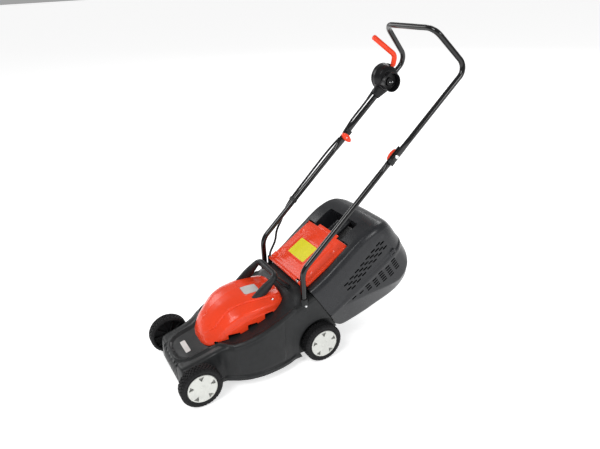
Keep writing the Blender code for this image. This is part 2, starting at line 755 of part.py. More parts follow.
def make_motor():
    place = (0.0, MOTOR_Y, 0.0)
    up = (0, 0, 1)
    base = WELL_FLOOR + GAP
    base_top = base + BASE_THICK
    bore = SHAFT_RADIUS + GAP
    seat = BEARING_RADIUS + GAP
    low_bearing = base - 0.002

    profile = ring_profile(seat, CAN_RADIUS + 0.014, base, base_top)
    add_part(turned(profile, place, up, 20, closed=True), "motor_base", "root", "dark_steel")
    profile = ring_profile(bore, BEARING_RADIUS, low_bearing, low_bearing + BEARING_HEIGHT)
    add_part(turned(profile, place, up, 14, closed=True), "bearing_lower", "root", "steel")

    wall = 0.002
    can_low = base_top + GAP
    high_bearing = CAN_TOP - BEARING_HEIGHT - 0.001
    profile = [
        (seat, CAN_TOP), (BEARING_RADIUS + 0.004, CAN_TOP), (CAN_RADIUS - 0.006, CAN_TOP - 0.004),
        (CAN_RADIUS, CAN_TOP - 0.012), (CAN_RADIUS, can_low), (CAN_RADIUS - wall, can_low),
        (CAN_RADIUS - wall, CAN_TOP - 0.014), (CAN_RADIUS - 0.008, CAN_TOP - 0.007),
        (BEARING_RADIUS + 0.003, CAN_TOP - 0.007), (seat, CAN_TOP - 0.007),
    ]
    add_part(turned(profile, place, up, 20, closed=True), "motor_can", "root", "dark_steel")
    profile = ring_profile(bore, BEARING_RADIUS, high_bearing, high_bearing + BEARING_HEIGHT)
    add_part(turned(profile, place, up, 14, closed=True), "bearing_upper", "root", "steel")

    stator_low = can_low + 0.016
    stator_high = stator_low + 0.055
    armature_radius = 0.026
    profile = ring_profile(armature_radius + 0.001, CAN_RADIUS - wall - GAP, stator_low, stator_high)
    add_part(turned(profile, place, up, 20, closed=True), "stator", "root", "copper")
    profile = ring_profile(bore, armature_radius, stator_low, stator_high)
    add_part(turned(profile, place, up, 16, closed=True), "armature", "blade_rotor", "copper")

    blade_top = BLADE_BOTTOM + BLADE_THICK
    tip = BLADE_BOTTOM + 0.012
    profile = [(0.0, SHAFT_TOP), (SHAFT_RADIUS, SHAFT_TOP), (SHAFT_RADIUS, tip), (0.0, tip)]
    add_part(turned(profile, place, up, 16), "motor_shaft", "blade_rotor", "steel")

    fan_low = CAN_TOP + 0.002
    profile = [
        (bore, fan_low + 0.010), (0.011, fan_low + 0.010), (0.014, fan_low + 0.004),
        (FAN_RADIUS, fan_low + 0.008), (FAN_RADIUS, fan_low + 0.004), (0.014, fan_low), (bore, fan_low),
    ]
    add_part(turned(profile, place, up, 18, closed=True), "cooling_fan", "blade_rotor", "black_plastic")

    holder_top = WELL_FLOOR - DECK_WALL - 0.0035
    profile = [
        (bore, holder_top), (0.015, holder_top), (0.017, blade_top + 0.020),
        (0.026, blade_top + 0.008), (0.026, blade_top + GAP), (bore, blade_top + GAP),
    ]
    add_part(turned(profile, place, up, 16, closed=True), "blade_holder", "blade_rotor", "dark_plastic")

    add_part(blade_shape(), "blade", "blade_rotor", "steel")
    bolt_top = BLADE_BOTTOM - GAP
    profile = [
        (0.0, tip - GAP), (BLADE_BOLT_RADIUS, tip - GAP), (BLADE_BOLT_RADIUS, bolt_top),
        (BOLT_HEAD_RADIUS, bolt_top), (BOLT_HEAD_RADIUS, bolt_top - 0.006), (0.0, bolt_top - 0.006),
    ]
    add_part(turned(profile, place, up, 6), "blade_bolt", "blade_rotor", "dark_steel")


def blade_shape():
    """A flat bar with a ground cutting edge, a raised trailing edge at each end and a hole for its bolt."""
    tip = BLADE_RADIUS
    half = BLADE_HALF_WIDTH
    thick = BLADE_THICK
    flat = (0.0, thick)
    ground = (0.0, thick * 0.3)
    rings = []
    for share, width, lift in ((1.0, 0.88, 0.0), (0.9, 1.0, 0.005), (0.64, 1.0, 0.005), (0.56, 1.0, 0.0),
                               (0.0, 1.1, 0.0)):
        raised = (lift, lift + thick)
        edges = (flat, flat) if share < 0.6 else (ground, raised)
        rings.append((share * tip, width * half, edges))
    rings += [(-x, width, (edges[1], edges[0])) for x, width, edges in reversed(rings[:-1])]
    sections = []
    for x, width, (front, back) in rings:
        inner = width * 0.55
        profile = [(-width, front[0]), (-inner, 0.0), (inner, 0.0), (width, back[0]),
                   (width, back[1]), (inner, thick), (-inner, thick), (-width, front[1])]
        sections.append([(x, MOTOR_Y + y, BLADE_BOTTOM + z) for y, z in profile])
    blade = loft(sections)
    cut(blade, rod((0, MOTOR_Y, 0.0), (0, MOTOR_Y, 0.1), BLADE_BORE, sides=12), "blade_hole")
    return blade


# ---------------------------------------------------------------- wheels and axles

def make_wheel(end, side):
    name = end + "_" + side
    body = "wheel_" + name
    y = 0.0 if end == "front" else WHEELBASE
    outward = (mirrored(side, 1.0), 0, 0)
    inner_face = (mirrored(side, TRACK_HALF - WHEEL_WIDTH), y, AXLE_Z)
    bore = AXLE_RADIUS + GAP
    width = WHEEL_WIDTH
    tyre = WHEEL_RADIUS
    profile = [
        (bore, 0.030), (HUB_RADIUS, 0.030), (HUB_RADIUS, 0.020), (CAP_SEAT - 0.003, 0.020),
        (CAP_SEAT - 0.003, width - 0.008), (CAP_SEAT, width - 0.008), (CAP_SEAT, width - 0.002),
        (tyre * 0.84, width), (tyre, width - 0.008), (tyre, 0.006), (tyre * 0.88, 0.0),
        (tyre * 0.81, 0.002), (tyre * 0.81, 0.014), (HUB_RADIUS, 0.014), (HUB_RADIUS, 0.001),
        (bore, 0.001),
    ]
    add_part(turned(profile, inner_face, outward, 24, closed=True), body, body, "rubber")

    seat = width - 0.008 + GAP
    profile = [
        (0.0, width - 0.002), (CAP_RADIUS - 0.004, width - 0.001), (CAP_RADIUS, width - 0.0035),
        (CAP_RADIUS, seat), (CAP_RADIUS - 0.006, width - 0.0045), (0.0, width - 0.005),
    ]
    add_part(turned(profile, inner_face, outward, 24), "hub_cap_" + name, body, "silver_plastic")

    nut_low = 0.030 + GAP
    profile = ring_profile(bore, NUT_RADIUS, nut_low, nut_low + 0.0025)
    axle = "front_axle" if end == "front" else "rear_axle"
    add_part(turned(profile, inner_face, outward, 10, closed=True), "axle_nut_" + name, axle, "steel")


def make_axles():
    reach = TRACK_HALF - WHEEL_WIDTH + 0.034
    for name, y in (("front_axle", 0.0), ("rear_axle", WHEELBASE)):
        axle = rod((-reach, y, AXLE_Z), (reach, y, AXLE_Z), AXLE_RADIUS, sides=20)
        add_part(axle, name, name, "steel")


# ---------------------------------------------------------------- discharge flap

def make_flap():
    half = FLAP_HALF
    top = FLAP_TOP
    rings = []
    for along, width, lift in ((0.004, half - 0.006, -0.002), (0.012, half, 0.0),
                               (FLAP_LENGTH - 0.012, half, 0.0), (FLAP_LENGTH, half - 0.004, -0.003)):
        ring = [(0.0, top + lift), (width - 0.008, top + lift), (width - 0.002, top + lift - 0.003),
                (width, top + lift - 0.009), (width, FLAP_SKIRT)]
        inner = [(width - FLAP_THICK, FLAP_SKIRT), (width - FLAP_THICK, top + lift - 0.010),
                 (width - FLAP_THICK - 0.005, top + lift - FLAP_THICK), (0.0, top + lift - FLAP_THICK)]
        whole = ring + inner
        whole += [(-x, z) for x, z in reversed(inner[:-1])] + [(-x, z) for x, z in reversed(ring[1:])]
        rings.append([rear_point(x, along, z) for x, z in whole])
    flap = loft(rings)
    add_part(flap, "discharge_flap", "discharge_flap", "red_plastic")
    barrel = rod((-half + 0.002, HINGE.y, HINGE.z), (half - 0.002, HINGE.y, HINGE.z), BARREL_RADIUS, sides=16)
    join(flap, barrel, "flap_barrel")
    edge = rear_block(half - 0.0015, (FLAP_LENGTH - 0.0040, FLAP_LENGTH - 0.0015),
                      (FLAP_SKIRT + 0.0005, top - 0.003))
    join(flap, edge, "flap_rear_edge")
    tongue = rear_block(TONGUE_HALF, (FLAP_LENGTH - 0.0033, TONGUE_END), (top - 0.007, top - 0.0012))
    join(flap, tongue, "flap_tongue")
    cut(flap, rod((-half - 0.01, HINGE.y, HINGE.z), (half + 0.01, HINGE.y, HINGE.z), PIN_RADIUS + GAP,
                  sides=12), "flap_bore")
    cut(flap, rod((SPRING_X - SPRING_HALF, HINGE.y, HINGE.z), (SPRING_X + SPRING_HALF, HINGE.y, HINGE.z),
                  BARREL_RADIUS + 0.0022, sides=20), "spring_space")

    pin = rod((-LUG_OUTER, HINGE.y, HINGE.z), (LUG_OUTER, HINGE.y, HINGE.z), PIN_RADIUS, sides=12)
    add_part(pin, "flap_pin", "root", "steel")
    spring = coil((SPRING_X, HINGE.y, HINGE.z), 0.0040, 0.0008, 2 * SPRING_HALF - 0.004, 4, "flap_spring")
    add_part(spring, "flap_spring", "root", "steel")


# ---------------------------------------------------------------- grass box

def box_stations():
    """Along the box: distance from the hinge, half width, and the levels of its top and bottom."""
    wide = BOX_HALF
    return [
        (SEAM_U + SEAM_GAP, wide - 0.005, -0.013, -0.219),
        (0.015, wide - 0.003, -0.013, -0.237),
        (0.060, wide - 0.001, -0.012, -0.254),
        (0.150, wide + 0.001, -0.004, -0.276),
        (0.255, wide + 0.001, 0.004, -0.295),
        (0.300, wide - 0.001, -0.001, -0.288),
        (0.332, wide - 0.008, -0.011, -0.271),
        (0.356, wide - 0.024, -0.030, -0.244),
        (0.372, wide - 0.050, -0.055, -0.212),
        (0.380, wide - 0.085, -0.085, -0.180),
    ]


def box_ring(row, inset):
    along, half, top, bottom = row
    height = top - bottom
    ledge = bottom + height * max(0.17, 0.52 - 1.25 * along)
    ledge = min(ledge, SPLIT_LEVEL - 0.007)
    ring = [
        (0.0, bottom + inset),
        (half - 0.042 - inset, bottom + inset),
        (half - 0.026 - inset, bottom + 0.010 + inset * 0.5),
        (half - inset, ledge),
        (half + 0.001 - inset, min(SPLIT_LEVEL, top - height * 0.45)),
        (half - 0.003 - inset, top - height * 0.20),
        (half - 0.008 - inset, top - 0.016),
        (half - 0.017 - inset, top - 0.003 - inset),
        (half - 0.032 - inset, top - inset),
        (0.0, top + 0.003 - inset),
    ]
    return [rear_point(x, along, level) for x, level in both_sides(ring)]


def box_outer():
    return loft([box_ring(row, 0.0) for row in box_stations()])


def box_inner():
    rows = box_stations()
    mouth = (-0.03, *rows[0][1:])
    back = [(along - (BOX_WALL if along > 0.3 else 0.0), *rest) for along, *rest in rows]
    return loft([box_ring(row, BOX_WALL) for row in [mouth] + back])


def make_box_shell(name, levels, material):
    """One shell of the box: the hollow form, kept between two levels."""
    shell = box_outer()
    add_part(shell, name, "grass_box", material)
    top = name == "grass_box_top"
    hollow = box_inner()
    add_cutter(hollow, name + "_hollow")
    if top:
        cut(shell, rear_block(BED_HALF, (-0.05, BED_LENGTH), (BED_LEVEL, 0.05)), name + "_bed")
        cut(shell, rear_block(RECESS_HALF, (RECESS_START, RECESS_END), (RECESS_LEVEL, 0.05)),
            name + "_recess")
        wall = BOX_WALL
        cut(hollow, rear_block(BED_HALF + wall, (-0.05, BED_LENGTH + wall), (BED_LEVEL - wall, 0.05)),
            name + "_under_bed")
        cut(hollow, rear_block(RECESS_HALF + wall, (RECESS_START - wall, RECESS_END + wall),
                               (RECESS_LEVEL - wall, 0.05)), name + "_under_recess")
    combine(shell, hollow, "DIFFERENCE", "MANIFOLD")
    keep_inside(shell, rear_block(0.4, (-0.1, 0.6), levels), name + "_half", "MANIFOLD")
    return shell


def make_grass_box():
    make_box_shell("grass_box_top", (SPLIT_LEVEL + GAP, 0.2), "dark_plastic")
    make_box_shell("grass_box_bottom", (-0.5, SPLIT_LEVEL), "dark_plastic")
    grip = rear_block(GRIP_HALF, (RECESS_START + GAP, RECESS_END - GAP), (GRIP_BOTTOM, GRIP_TOP))
    add_part(grip, "grass_box_grip", "grass_box", "dark_plastic")


# ---------------------------------------------------------------- handle

def flat_share(distance, length):
    """How far a tube is flattened, from 1 at its end to 0 past the given length."""
    share = min(max((length - distance) / (length * 0.45), 0.0), 1.0)
    return share * share * (3 - 2 * share)


def tube_station(point, share):
    return (point, TUBE_RADIUS + (FLAT_HALF - TUBE_RADIUS) * share,
            TUBE_RADIUS + (FLAT_HEIGHT - TUBE_RADIUS) * share)


def make_lower_tube(side):
    x = Vector((mirrored(side, LOWER_X), 0, 0))
    foot = Vector((0, SOCKET_Y, SOCKET_TOP - SOCKET_DEPTH + GAP))
    bend = rounded_path([foot, BEND, BEND + 0.12 * UP_TUBE], 0.060, steps=4)
    stations = [tube_station(point + x, 0.0) for point in bend[:-1]]
    for back in (0.30, 0.105, 0.088, 0.078, 0.068, 0.055, 0.0):
        run = LOWER_RUN + OVERLAP - back
        stations.append(tube_station(BEND + run * UP_TUBE + x, flat_share(back, FLAT_RUN)))
    tube = sweep(stations, sides=12)
    add_part(tube, "lower_tube_" + side, "root", "black_paint")
    cut(tube, fold_hole(side), "lower_bolt_hole_" + side)
    cut(tube, socket_screw_shape(side, GAP), "tube_screw_hole_" + side)


def fold_hole(side):
    start = (mirrored(side, LOWER_X - 0.02), FOLD.y, FOLD.z)
    end = (mirrored(side, UPPER_X + 0.02), FOLD.y, FOLD.z)
    return rod(start, end, BOLT_RADIUS + GAP, sides=12)


def make_upper_handle():
    right = Vector((UPPER_X, 0, 0))
    corner = FOLD + UPPER_RUN * UP_TUBE
    crest = corner + BOW_RISE
    low = FOLD - OVERLAP * UP_TUBE
    inset_x = Vector((BOW_HALF, 0, 0))
    half_path = rounded_path([low + right, corner + right, crest + inset_x, crest], 0.040, steps=4)[:-1]
    run = [Vector(point) for point in half_path]
    start = run[0]
    extra = [start + distance * UP_TUBE for distance in (0.055, 0.068, 0.078, 0.088, 0.105)]
    run = [start] + extra + run[1:]
    run += [Vector((-point.x, point.y, point.z)) for point in reversed(run)]
    stations = []
    for point in run:
        distance = (point - low).dot(UP_TUBE)
        share = flat_share(distance, FLAT_RUN) if point.z < corner.z - 0.05 else 0.0
        stations.append(tube_station(point, share))
    handle = sweep(stations, sides=12)
    add_part(handle, "upper_handle", "upper_handle", "black_paint")
    for side in ("left", "right"):
        cut(handle, fold_hole(side), "upper_bolt_hole_" + side)


def make_fold_fastening(side):
    head = UPPER_X + FLAT_HALF + GAP
    inside = LOWER_X - FLAT_HALF - GAP
    sign = mirrored(side, 1.0)
    place = (0.0, FOLD.y, FOLD.z)
    end = inside - KNOB_THICK + 0.003
    profile = [
        (0.0, head + 0.0035), (0.004, head + 0.0032), (0.0070, head + 0.0012), (0.0072, head),
        (BOLT_RADIUS, head), (BOLT_RADIUS, end), (0.0, end),
    ]
    bolt = turned(profile, place, (sign, 0, 0), steps=16)
    add_part(bolt, "handle_bolt_" + side, "upper_handle", "steel")

    knob = bpy.data.curves.new("knob", "CURVE")
    knob.dimensions = "2D"
    knob.fill_mode = "BOTH"
    knob.extrude = KNOB_THICK / 2 - 0.002
    knob.bevel_depth = 0.002
    knob.bevel_resolution = 1
    knob.offset = -0.002
    spline = knob.splines.new("POLY")
    count = 20
    spline.points.add(count - 1)
    for k in range(count):
        angle = 2 * math.pi * k / count
        spline.points[k].co = (KNOB_LENGTH * math.cos(angle), KNOB_HEIGHT * math.sin(angle), 0.0, 1.0)
    spline.use_cyclic_u = True
    holder = bpy.data.objects.new("knob", knob)
    centre = Vector((sign * (inside - KNOB_THICK / 2), FOLD.y, FOLD.z))
    long_way = UP_TUBE if side == "left" else OFF_TUBE
    short_way = OFF_TUBE if side == "left" else -UP_TUBE
    turn = Matrix((long_way, short_way, Vector((1, 0, 0)))).transposed().to_4x4()
    holder.matrix_world = Matrix.Translation(centre) @ turn
    piece = curve_to_mesh(holder, "knob_" + side)
    body = "knob_" + side
    piece.data.transform(piece.matrix_world)
    piece.matrix_world = Matrix.Identity(4)
    add_part(piece, "knob_" + side, body, "red_plastic")
    cut(piece, rod((sign * (inside - KNOB_THICK - 0.01), FOLD.y, FOLD.z),
                   (sign * (inside + 0.01), FOLD.y, FOLD.z), BOLT_RADIUS + GAP, sides=12),
        "knob_bore_" + side)


# ---------------------------------------------------------------- switch box

def switch_cup(profile, sign, place, steps=16):
    return turned(profile, (SPLIT_X, place.y, place.z), (sign, 0, 0), steps=steps)


def tube_through_switch():
    start = FOLD + (SWITCH_RUN - 0.12) * UP_TUBE + Vector((SPLIT_X, 0, 0))
    end = FOLD + (SWITCH_RUN + 0.10) * UP_TUBE + Vector((SPLIT_X, 0, 0))
    return rod(start, end, TUBE_RADIUS + GAP, sides=28)


def make_switch_box():
    r = SWITCH_RADIUS
    w = SWITCH_WALL
    half_gap = GAP / 2
    profile = [
        (0.0, 0.040), (r * 0.60, 0.040), (r * 0.84, 0.031), (r, 0.012), (r, half_gap),
        (r - w, half_gap), (r - w, 0.0115), (r * 0.84 - w * 0.8, 0.0288), (r * 0.60 - w * 0.6, 0.0375),
        (0.0, 0.0375),
    ]
    inner = switch_cup(profile, 1, SWITCH)
    add_part(inner, "switch_box_inner", "upper_handle", "black_plastic")
    mouth = 0.066
    funnel = rod((SPLIT_X + SHROUD_BASE, SHROUD.y, SHROUD.z), (SPLIT_X + mouth, SHROUD.y, SHROUD.z),
                 SHROUD_RADIUS - 0.004, sides=24, end_radius=SHROUD_RADIUS)
    join(inner, funnel, "inlet_shroud")
    cut(inner, rod((SPLIT_X + 0.042, SHROUD.y, SHROUD.z), (SPLIT_X + mouth + 0.01, SHROUD.y, SHROUD.z),
                   SHROUD_RADIUS - 0.0065, sides=24, end_radius=SHROUD_RADIUS - 0.0025), "inlet_mouth")
    for i, shift in enumerate((-0.006, 0.006)):
        y = SHROUD.y + shift
        cut(inner, rod((SPLIT_X + 0.028, y, SHROUD.z), (SPLIT_X + 0.045, y, SHROUD.z), 0.0024 + GAP,
                       sides=12), "inlet_pin_hole_%d" % i)
        pin = rod((SPLIT_X + 0.030, y, SHROUD.z), (SPLIT_X + 0.058, y, SHROUD.z), 0.0024, sides=12)
        add_part(pin, "inlet_pin_%s" % ("front", "rear")[i], "upper_handle", "brass")
    cut(inner, tube_through_switch(), "tube_in_inner_half")
    slot = LEVER_RADIUS + 0.0012
    cut(inner, block((LEVER_X - slot, PIVOT.y + 0.004, PIVOT.z + 0.012),
                     (LEVER_X + slot, PIVOT.y + 0.056, PIVOT.z + 0.060)), "lever_slot")

    bore = BUTTON_RADIUS + GAP
    profile = [
        (bore, 0.031), (0.020, 0.031), (0.024, 0.026), (r * 0.84, 0.020), (r, 0.010), (r, half_gap),
        (r - w, half_gap), (r - w, 0.0095), (r * 0.84 - w * 0.6, 0.0176), (0.0228, 0.0235),
        (0.0185, 0.0285), (bore, 0.0285),
    ]
    outer = turned(profile, (SPLIT_X, SWITCH.y, SWITCH.z), (-1, 0, 0), steps=16, closed=True)
    add_part(outer, "switch_box_outer", "upper_handle", "black_plastic")
    cut(outer, tube_through_switch(), "tube_in_outer_half")

    profile = [(0.0, 0.0300), (BUTTON_RADIUS, 0.0295), (BUTTON_RADIUS, 0.0265), (BUTTON_RADIUS + 0.0015, 0.0265),
               (BUTTON_RADIUS + 0.0015, 0.0235), (0.0, 0.0235)]
    button = turned(profile, (SPLIT_X, SWITCH.y, SWITCH.z), (-1, 0, 0), steps=20)
    add_part(button, "lock_button", "lock_button", "red_plastic")

    block_low = SWITCH + Vector((SPLIT_X + 0.003, -0.030, -0.004))
    block_high = SWITCH + Vector((SPLIT_X + 0.012, -0.013, 0.010))
    add_part(block(block_low, block_high), "micro_switch", "upper_handle", "dark_plastic")


def make_lever():
    shift = Vector((LEVER_X, 0, 0))
    path = rounded_path([PIVOT, LEVER_EXIT, LEVER_BEND, LEVER_TIP], 0.022, steps=4)
    path += [LEVER_TIP + (LEVER_TIP - LEVER_BEND).normalized() * 0.003]
    stations = []
    for point in path:
        inside = (point - SWITCH).length < SWITCH_RADIUS * 0.9
        half = 0.0068 if inside else LEVER_RADIUS
        stations.append((point + shift, half, half if inside else LEVER_RADIUS))
    last = stations[-1]
    stations[-1] = (last[0], LEVER_RADIUS * 0.6, LEVER_RADIUS * 0.6)
    lever = sweep(stations, sides=12)
    add_part(lever, "switch_lever", "switch_lever", "red_plastic")
    half = 0.0075
    hub = rod((LEVER_X - half, PIVOT.y, PIVOT.z), (LEVER_X + half, PIVOT.y, PIVOT.z), 0.0105, sides=20)
    join(lever, hub, "lever_hub")
    bore = PIVOT_RADIUS + GAP
    cut(lever, rod((LEVER_X - 0.02, PIVOT.y, PIVOT.z), (LEVER_X + 0.02, PIVOT.y, PIVOT.z), bore, sides=12),
        "lever_bore")
    start = SPLIT_X - 0.012
    end = SPLIT_X + SHROUD_BASE - GAP
    pin = rod((start, PIVOT.y, PIVOT.z), (end, PIVOT.y, PIVOT.z), PIVOT_RADIUS, sides=12)
    add_part(pin, "lever_pin", "upper_handle", "steel")
    spring = coil((SPLIT_X + 0.006, PIVOT.y, PIVOT.z), 0.0042, 0.0007, 0.009, 3, "lever_spring")
    add_part(spring, "lever_spring", "upper_handle", "steel")


# ---------------------------------------------------------------- cable

def tube_point(along, off, x):
    """A place beside the straight handle tube, measured from the fold bolt."""
    return FOLD + along * UP_TUBE + off * OFF_TUBE + Vector((x, 0, 0))


def make_cable():
    x_out = CABLE_X
    x_top = SPLIT_X - 0.006
    sleeve_top = tube_point(RELIEF_TOP, RELIEF_OFF, x_top)
    sleeve_end = tube_point(RELIEF_END, RELIEF_OFF - 0.003, x_top)
    relief = rod(sleeve_end, sleeve_top, 0.0048, sides=14, end_radius=0.0068)
    add_part(relief, "strain_relief", "upper_handle", "rubber")

    down = (sleeve_end - sleeve_top).normalized()
    upper = smooth_route([
        sleeve_end + down * GAP,
        tube_point(RELIEF_END - 0.040, 0.90 * BESIDE, SPLIT_X - 0.45 * BESIDE),
        tube_point(0.075, 0.70 * BESIDE, SPLIT_X - 0.71 * BESIDE),
        tube_point(0.035, 0.26 * BESIDE, x_out + 0.001),
        tube_point(FOLD_CLEAR, 0.0, x_out),
    ], per_span=3)
    add_part(wire(upper, CABLE_RADIUS, "cable_upper"), "cable_upper", "upper_handle", "rubber")

    lower_x = -LOWER_X
    lower = smooth_route([
        tube_point(-FOLD_CLEAR, 0.0, x_out),
        tube_point(-0.050, 0.005, x_out + 0.003),
        tube_point(-0.100, 0.60 * BESIDE, lower_x - 1.06 * BESIDE),
        tube_point(-0.200, 0.50 * BESIDE, lower_x - BESIDE),
        tube_point(CLIP_RUN, 0.004, lower_x - BESIDE),
        tube_point(-0.345, -0.25 * BESIDE, lower_x - 0.94 * BESIDE),
        tube_point(-0.385, -1.03 * BESIDE, lower_x - 0.008),
        (lower_x - 0.002, BEND.y + 0.060, BEND.z + 0.020),
        (lower_x + 0.002, BEND.y + 0.047, BEND.z - 0.020),
        (lower_x + 0.006, BEND.y + 0.024, BEND.z - 0.056),
        (-GLAND_X, GLAND_Y, GLAND_TOP + 0.010),
        (-GLAND_X, GLAND_Y, GLAND_TOP),
        (-GLAND_X, GLAND_Y, GLAND_TOP - 0.022),
    ], per_span=3)
    add_part(wire(lower, CABLE_RADIUS, "cable_lower"), "cable_lower", "root", "rubber")

    bore = CABLE_RADIUS + 2 * GAP
    profile = ring_profile(bore, GLAND_RADIUS, 0.225, GLAND_TOP)
    gland = turned(profile, (-GLAND_X, GLAND_Y, 0.0), (0, 0, 1), 16, closed=True)
    add_part(gland, "cable_gland", "root", "rubber")
    cut(gland, deck_form(-GAP, DECK_FRONT - 0.001, 1.1 * WHEELBASE, 0.0), "deck_under_gland")

    middle = tube_point(CLIP_RUN, 0.0, lower_x)
    start = middle - CLIP_HALF * UP_TUBE
    end = middle + CLIP_HALF * UP_TUBE
    clip = rod(start, end, TUBE_RADIUS + 0.0018, sides=20)
    add_part(clip, "cable_clip", "root", "black_plastic")
    cable_x = lower_x - BESIDE
    wrap = rod(tube_point(CLIP_RUN - CLIP_HALF, 0.004, cable_x),
               tube_point(CLIP_RUN + CLIP_HALF, 0.004, cable_x), CABLE_RADIUS + 0.0026, sides=16)
    join(clip, wrap, "clip_wrap")
    cut(clip, rod(middle - 0.02 * UP_TUBE, middle + 0.02 * UP_TUBE, TUBE_RADIUS + GAP, sides=28), "clip_tube")
    cut(clip, rod(tube_point(CLIP_RUN - 0.02, 0.004, cable_x), tube_point(CLIP_RUN + 0.02, 0.004, cable_x),
                  CABLE_RADIUS + 0.0012, sides=16), "clip_cable")


# ---------------------------------------------------------------- socket screws

def make_socket_screw(side):
    sign = mirrored(side, 1.0)
    z = SOCKET_TOP - SOCKET_DEPTH / 2
    start = LOWER_X + 0.002
    head = LOWER_X + TUBE_RADIUS + SOCKET_WALL + GAP
    profile = [(0.0, head + 0.0025), (0.0035, head + 0.0022), (0.0045, head), (PIN_RADIUS, head),
               (PIN_RADIUS, start), (0.0, start)]
    screw = turned(profile, (0.0, SOCKET_Y, z), (sign, 0, 0), steps=12)
    add_part(screw, "socket_screw_" + side, "root", "steel")


# ---------------------------------------------------------------- whole mower

def make_pivots():
    make_pivot("root", (0, 0, 0))
    make_pivot("front_axle", (0, 0, AXLE_Z), "root")
    make_pivot("rear_axle", (0, WHEELBASE, AXLE_Z), "root")
    for end, side in WHEELS:
        y = 0.0 if end == "front" else WHEELBASE
        x = mirrored(side, TRACK_HALF - WHEEL_WIDTH / 2)
        make_pivot("wheel_%s_%s" % (end, side), (x, y, AXLE_Z), end + "_axle")
    make_pivot("blade_rotor", (0, MOTOR_Y, BLADE_BOTTOM), "root")
    make_pivot("discharge_flap", HINGE, "root")
    make_pivot("grass_box", rear_point(0, SEAM_U, SPLIT_LEVEL), "root")
    make_pivot("upper_handle", FOLD, "root")
    for side in ("left", "right"):
        make_pivot("knob_" + side, (mirrored(side, LOWER_X), FOLD.y, FOLD.z), "upper_handle")
    make_pivot("switch_lever", (LEVER_X, PIVOT.y, PIVOT.z), "upper_handle")
    make_pivot("lock_button", (SPLIT_X, SWITCH.y, SWITCH.z), "upper_handle")


def centre_on_ground():
    """Move the root so that the origin is at the middle of the bounding box's bottom face."""
    bpy.context.view_layer.update()
    graph = bpy.context.evaluated_depsgraph_get()
    low = Vector((1e9, 1e9, 1e9))
    high = -low
    for piece in parts:
        solid = piece.evaluated_get(graph)
        for vertex in solid.data.vertices:
            point = solid.matrix_world @ vertex.co
            low = Vector(map(min, low, point))
            high = Vector(map(max, high, point))
    middle = (low + high) / 2
    pivots["root"][0].location = (-middle.x, -middle.y, -low.z)
    bpy.context.view_layer.update()


def main():
    global part_collection, cutter_collection
    clear_scene()
    part_collection = new_collection("push_lawn_mower")
    cutter_collection = new_collection("cutters")
    make_pivots()
    make_deck()
    make_hood()
    make_hood_screws()
    make_carry_handle()
    make_motor()
    make_axles()
    for end, side in WHEELS:
        make_wheel(end, side)
    make_flap()
    make_grass_box()
    for side in ("left", "right"):
        make_lower_tube(side)
        make_socket_screw(side)
    make_upper_handle()
    for side in ("left", "right"):
        make_fold_fastening(side)
    make_switch_box()
    make_lever()
    make_cable()
    centre_on_ground()


main()
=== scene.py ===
import math

import bmesh
import bpy
import numpy as np
from mathutils import Matrix, Vector
from mathutils.bvhtree import BVHTree


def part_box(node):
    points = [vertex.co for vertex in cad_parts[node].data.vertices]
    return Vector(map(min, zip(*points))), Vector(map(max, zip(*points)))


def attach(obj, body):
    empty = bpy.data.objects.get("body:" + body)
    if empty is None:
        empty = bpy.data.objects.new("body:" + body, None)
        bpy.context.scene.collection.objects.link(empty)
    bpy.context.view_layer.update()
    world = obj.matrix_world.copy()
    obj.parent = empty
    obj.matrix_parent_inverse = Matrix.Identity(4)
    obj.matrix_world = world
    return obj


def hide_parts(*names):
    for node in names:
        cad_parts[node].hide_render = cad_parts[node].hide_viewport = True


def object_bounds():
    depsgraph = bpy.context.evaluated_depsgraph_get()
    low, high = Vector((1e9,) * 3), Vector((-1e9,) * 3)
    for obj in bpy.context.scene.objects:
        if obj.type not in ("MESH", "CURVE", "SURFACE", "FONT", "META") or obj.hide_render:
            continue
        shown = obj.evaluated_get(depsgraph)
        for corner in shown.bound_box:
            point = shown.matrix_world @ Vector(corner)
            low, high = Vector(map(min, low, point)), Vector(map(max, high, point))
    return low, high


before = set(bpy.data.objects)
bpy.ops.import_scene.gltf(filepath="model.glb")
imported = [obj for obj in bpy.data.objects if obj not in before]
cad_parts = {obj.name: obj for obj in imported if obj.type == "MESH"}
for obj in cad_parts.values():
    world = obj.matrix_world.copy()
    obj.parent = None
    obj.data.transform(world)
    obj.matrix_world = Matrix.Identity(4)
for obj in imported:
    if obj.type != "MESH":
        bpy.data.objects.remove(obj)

cad_low, cad_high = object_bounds()


def node_middle(node):
    low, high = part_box(node)
    return (low + high) / 2


# Shapes are built with y = 0 at the front axle, then moved to where the CAD has that axle.
SHIFT = Vector((0.0, node_middle("front_axle").y, 0.0))
WHEELBASE = node_middle("rear_axle").y - node_middle("front_axle").y
TRACK_HALF = cad_high.x
WHEEL_RADIUS = node_middle("front_axle").z
WHEEL_WIDTH = 0.042
DECK_HALF = TRACK_HALF - 0.006
NOSE_HALF = TRACK_HALF - WHEEL_WIDTH - 0.008
PANEL_HALF = TRACK_HALF - 0.032
POCKET_INNER = TRACK_HALF - WHEEL_WIDTH - 0.005
MOTOR_Y = 0.493 * WHEELBASE
LEAN = math.radians(31.2)
HINGE = node_middle("flap_pin") - SHIFT
ALONG = Vector((0.0, math.cos(LEAN), math.sin(LEAN)))
ABOVE = Vector((0.0, -math.sin(LEAN), math.cos(LEAN)))
RAKE = math.radians(41.65)
UP_TUBE = Vector((0.0, math.cos(RAKE), math.sin(RAKE)))
OFF_TUBE = Vector((0.0, -math.sin(RAKE), math.cos(RAKE)))
TUBE_RADIUS = 0.0095
FLAT_HALF = 0.0042
FLAT_HEIGHT = 0.0125
LOWER_X = TRACK_HALF - 0.0405
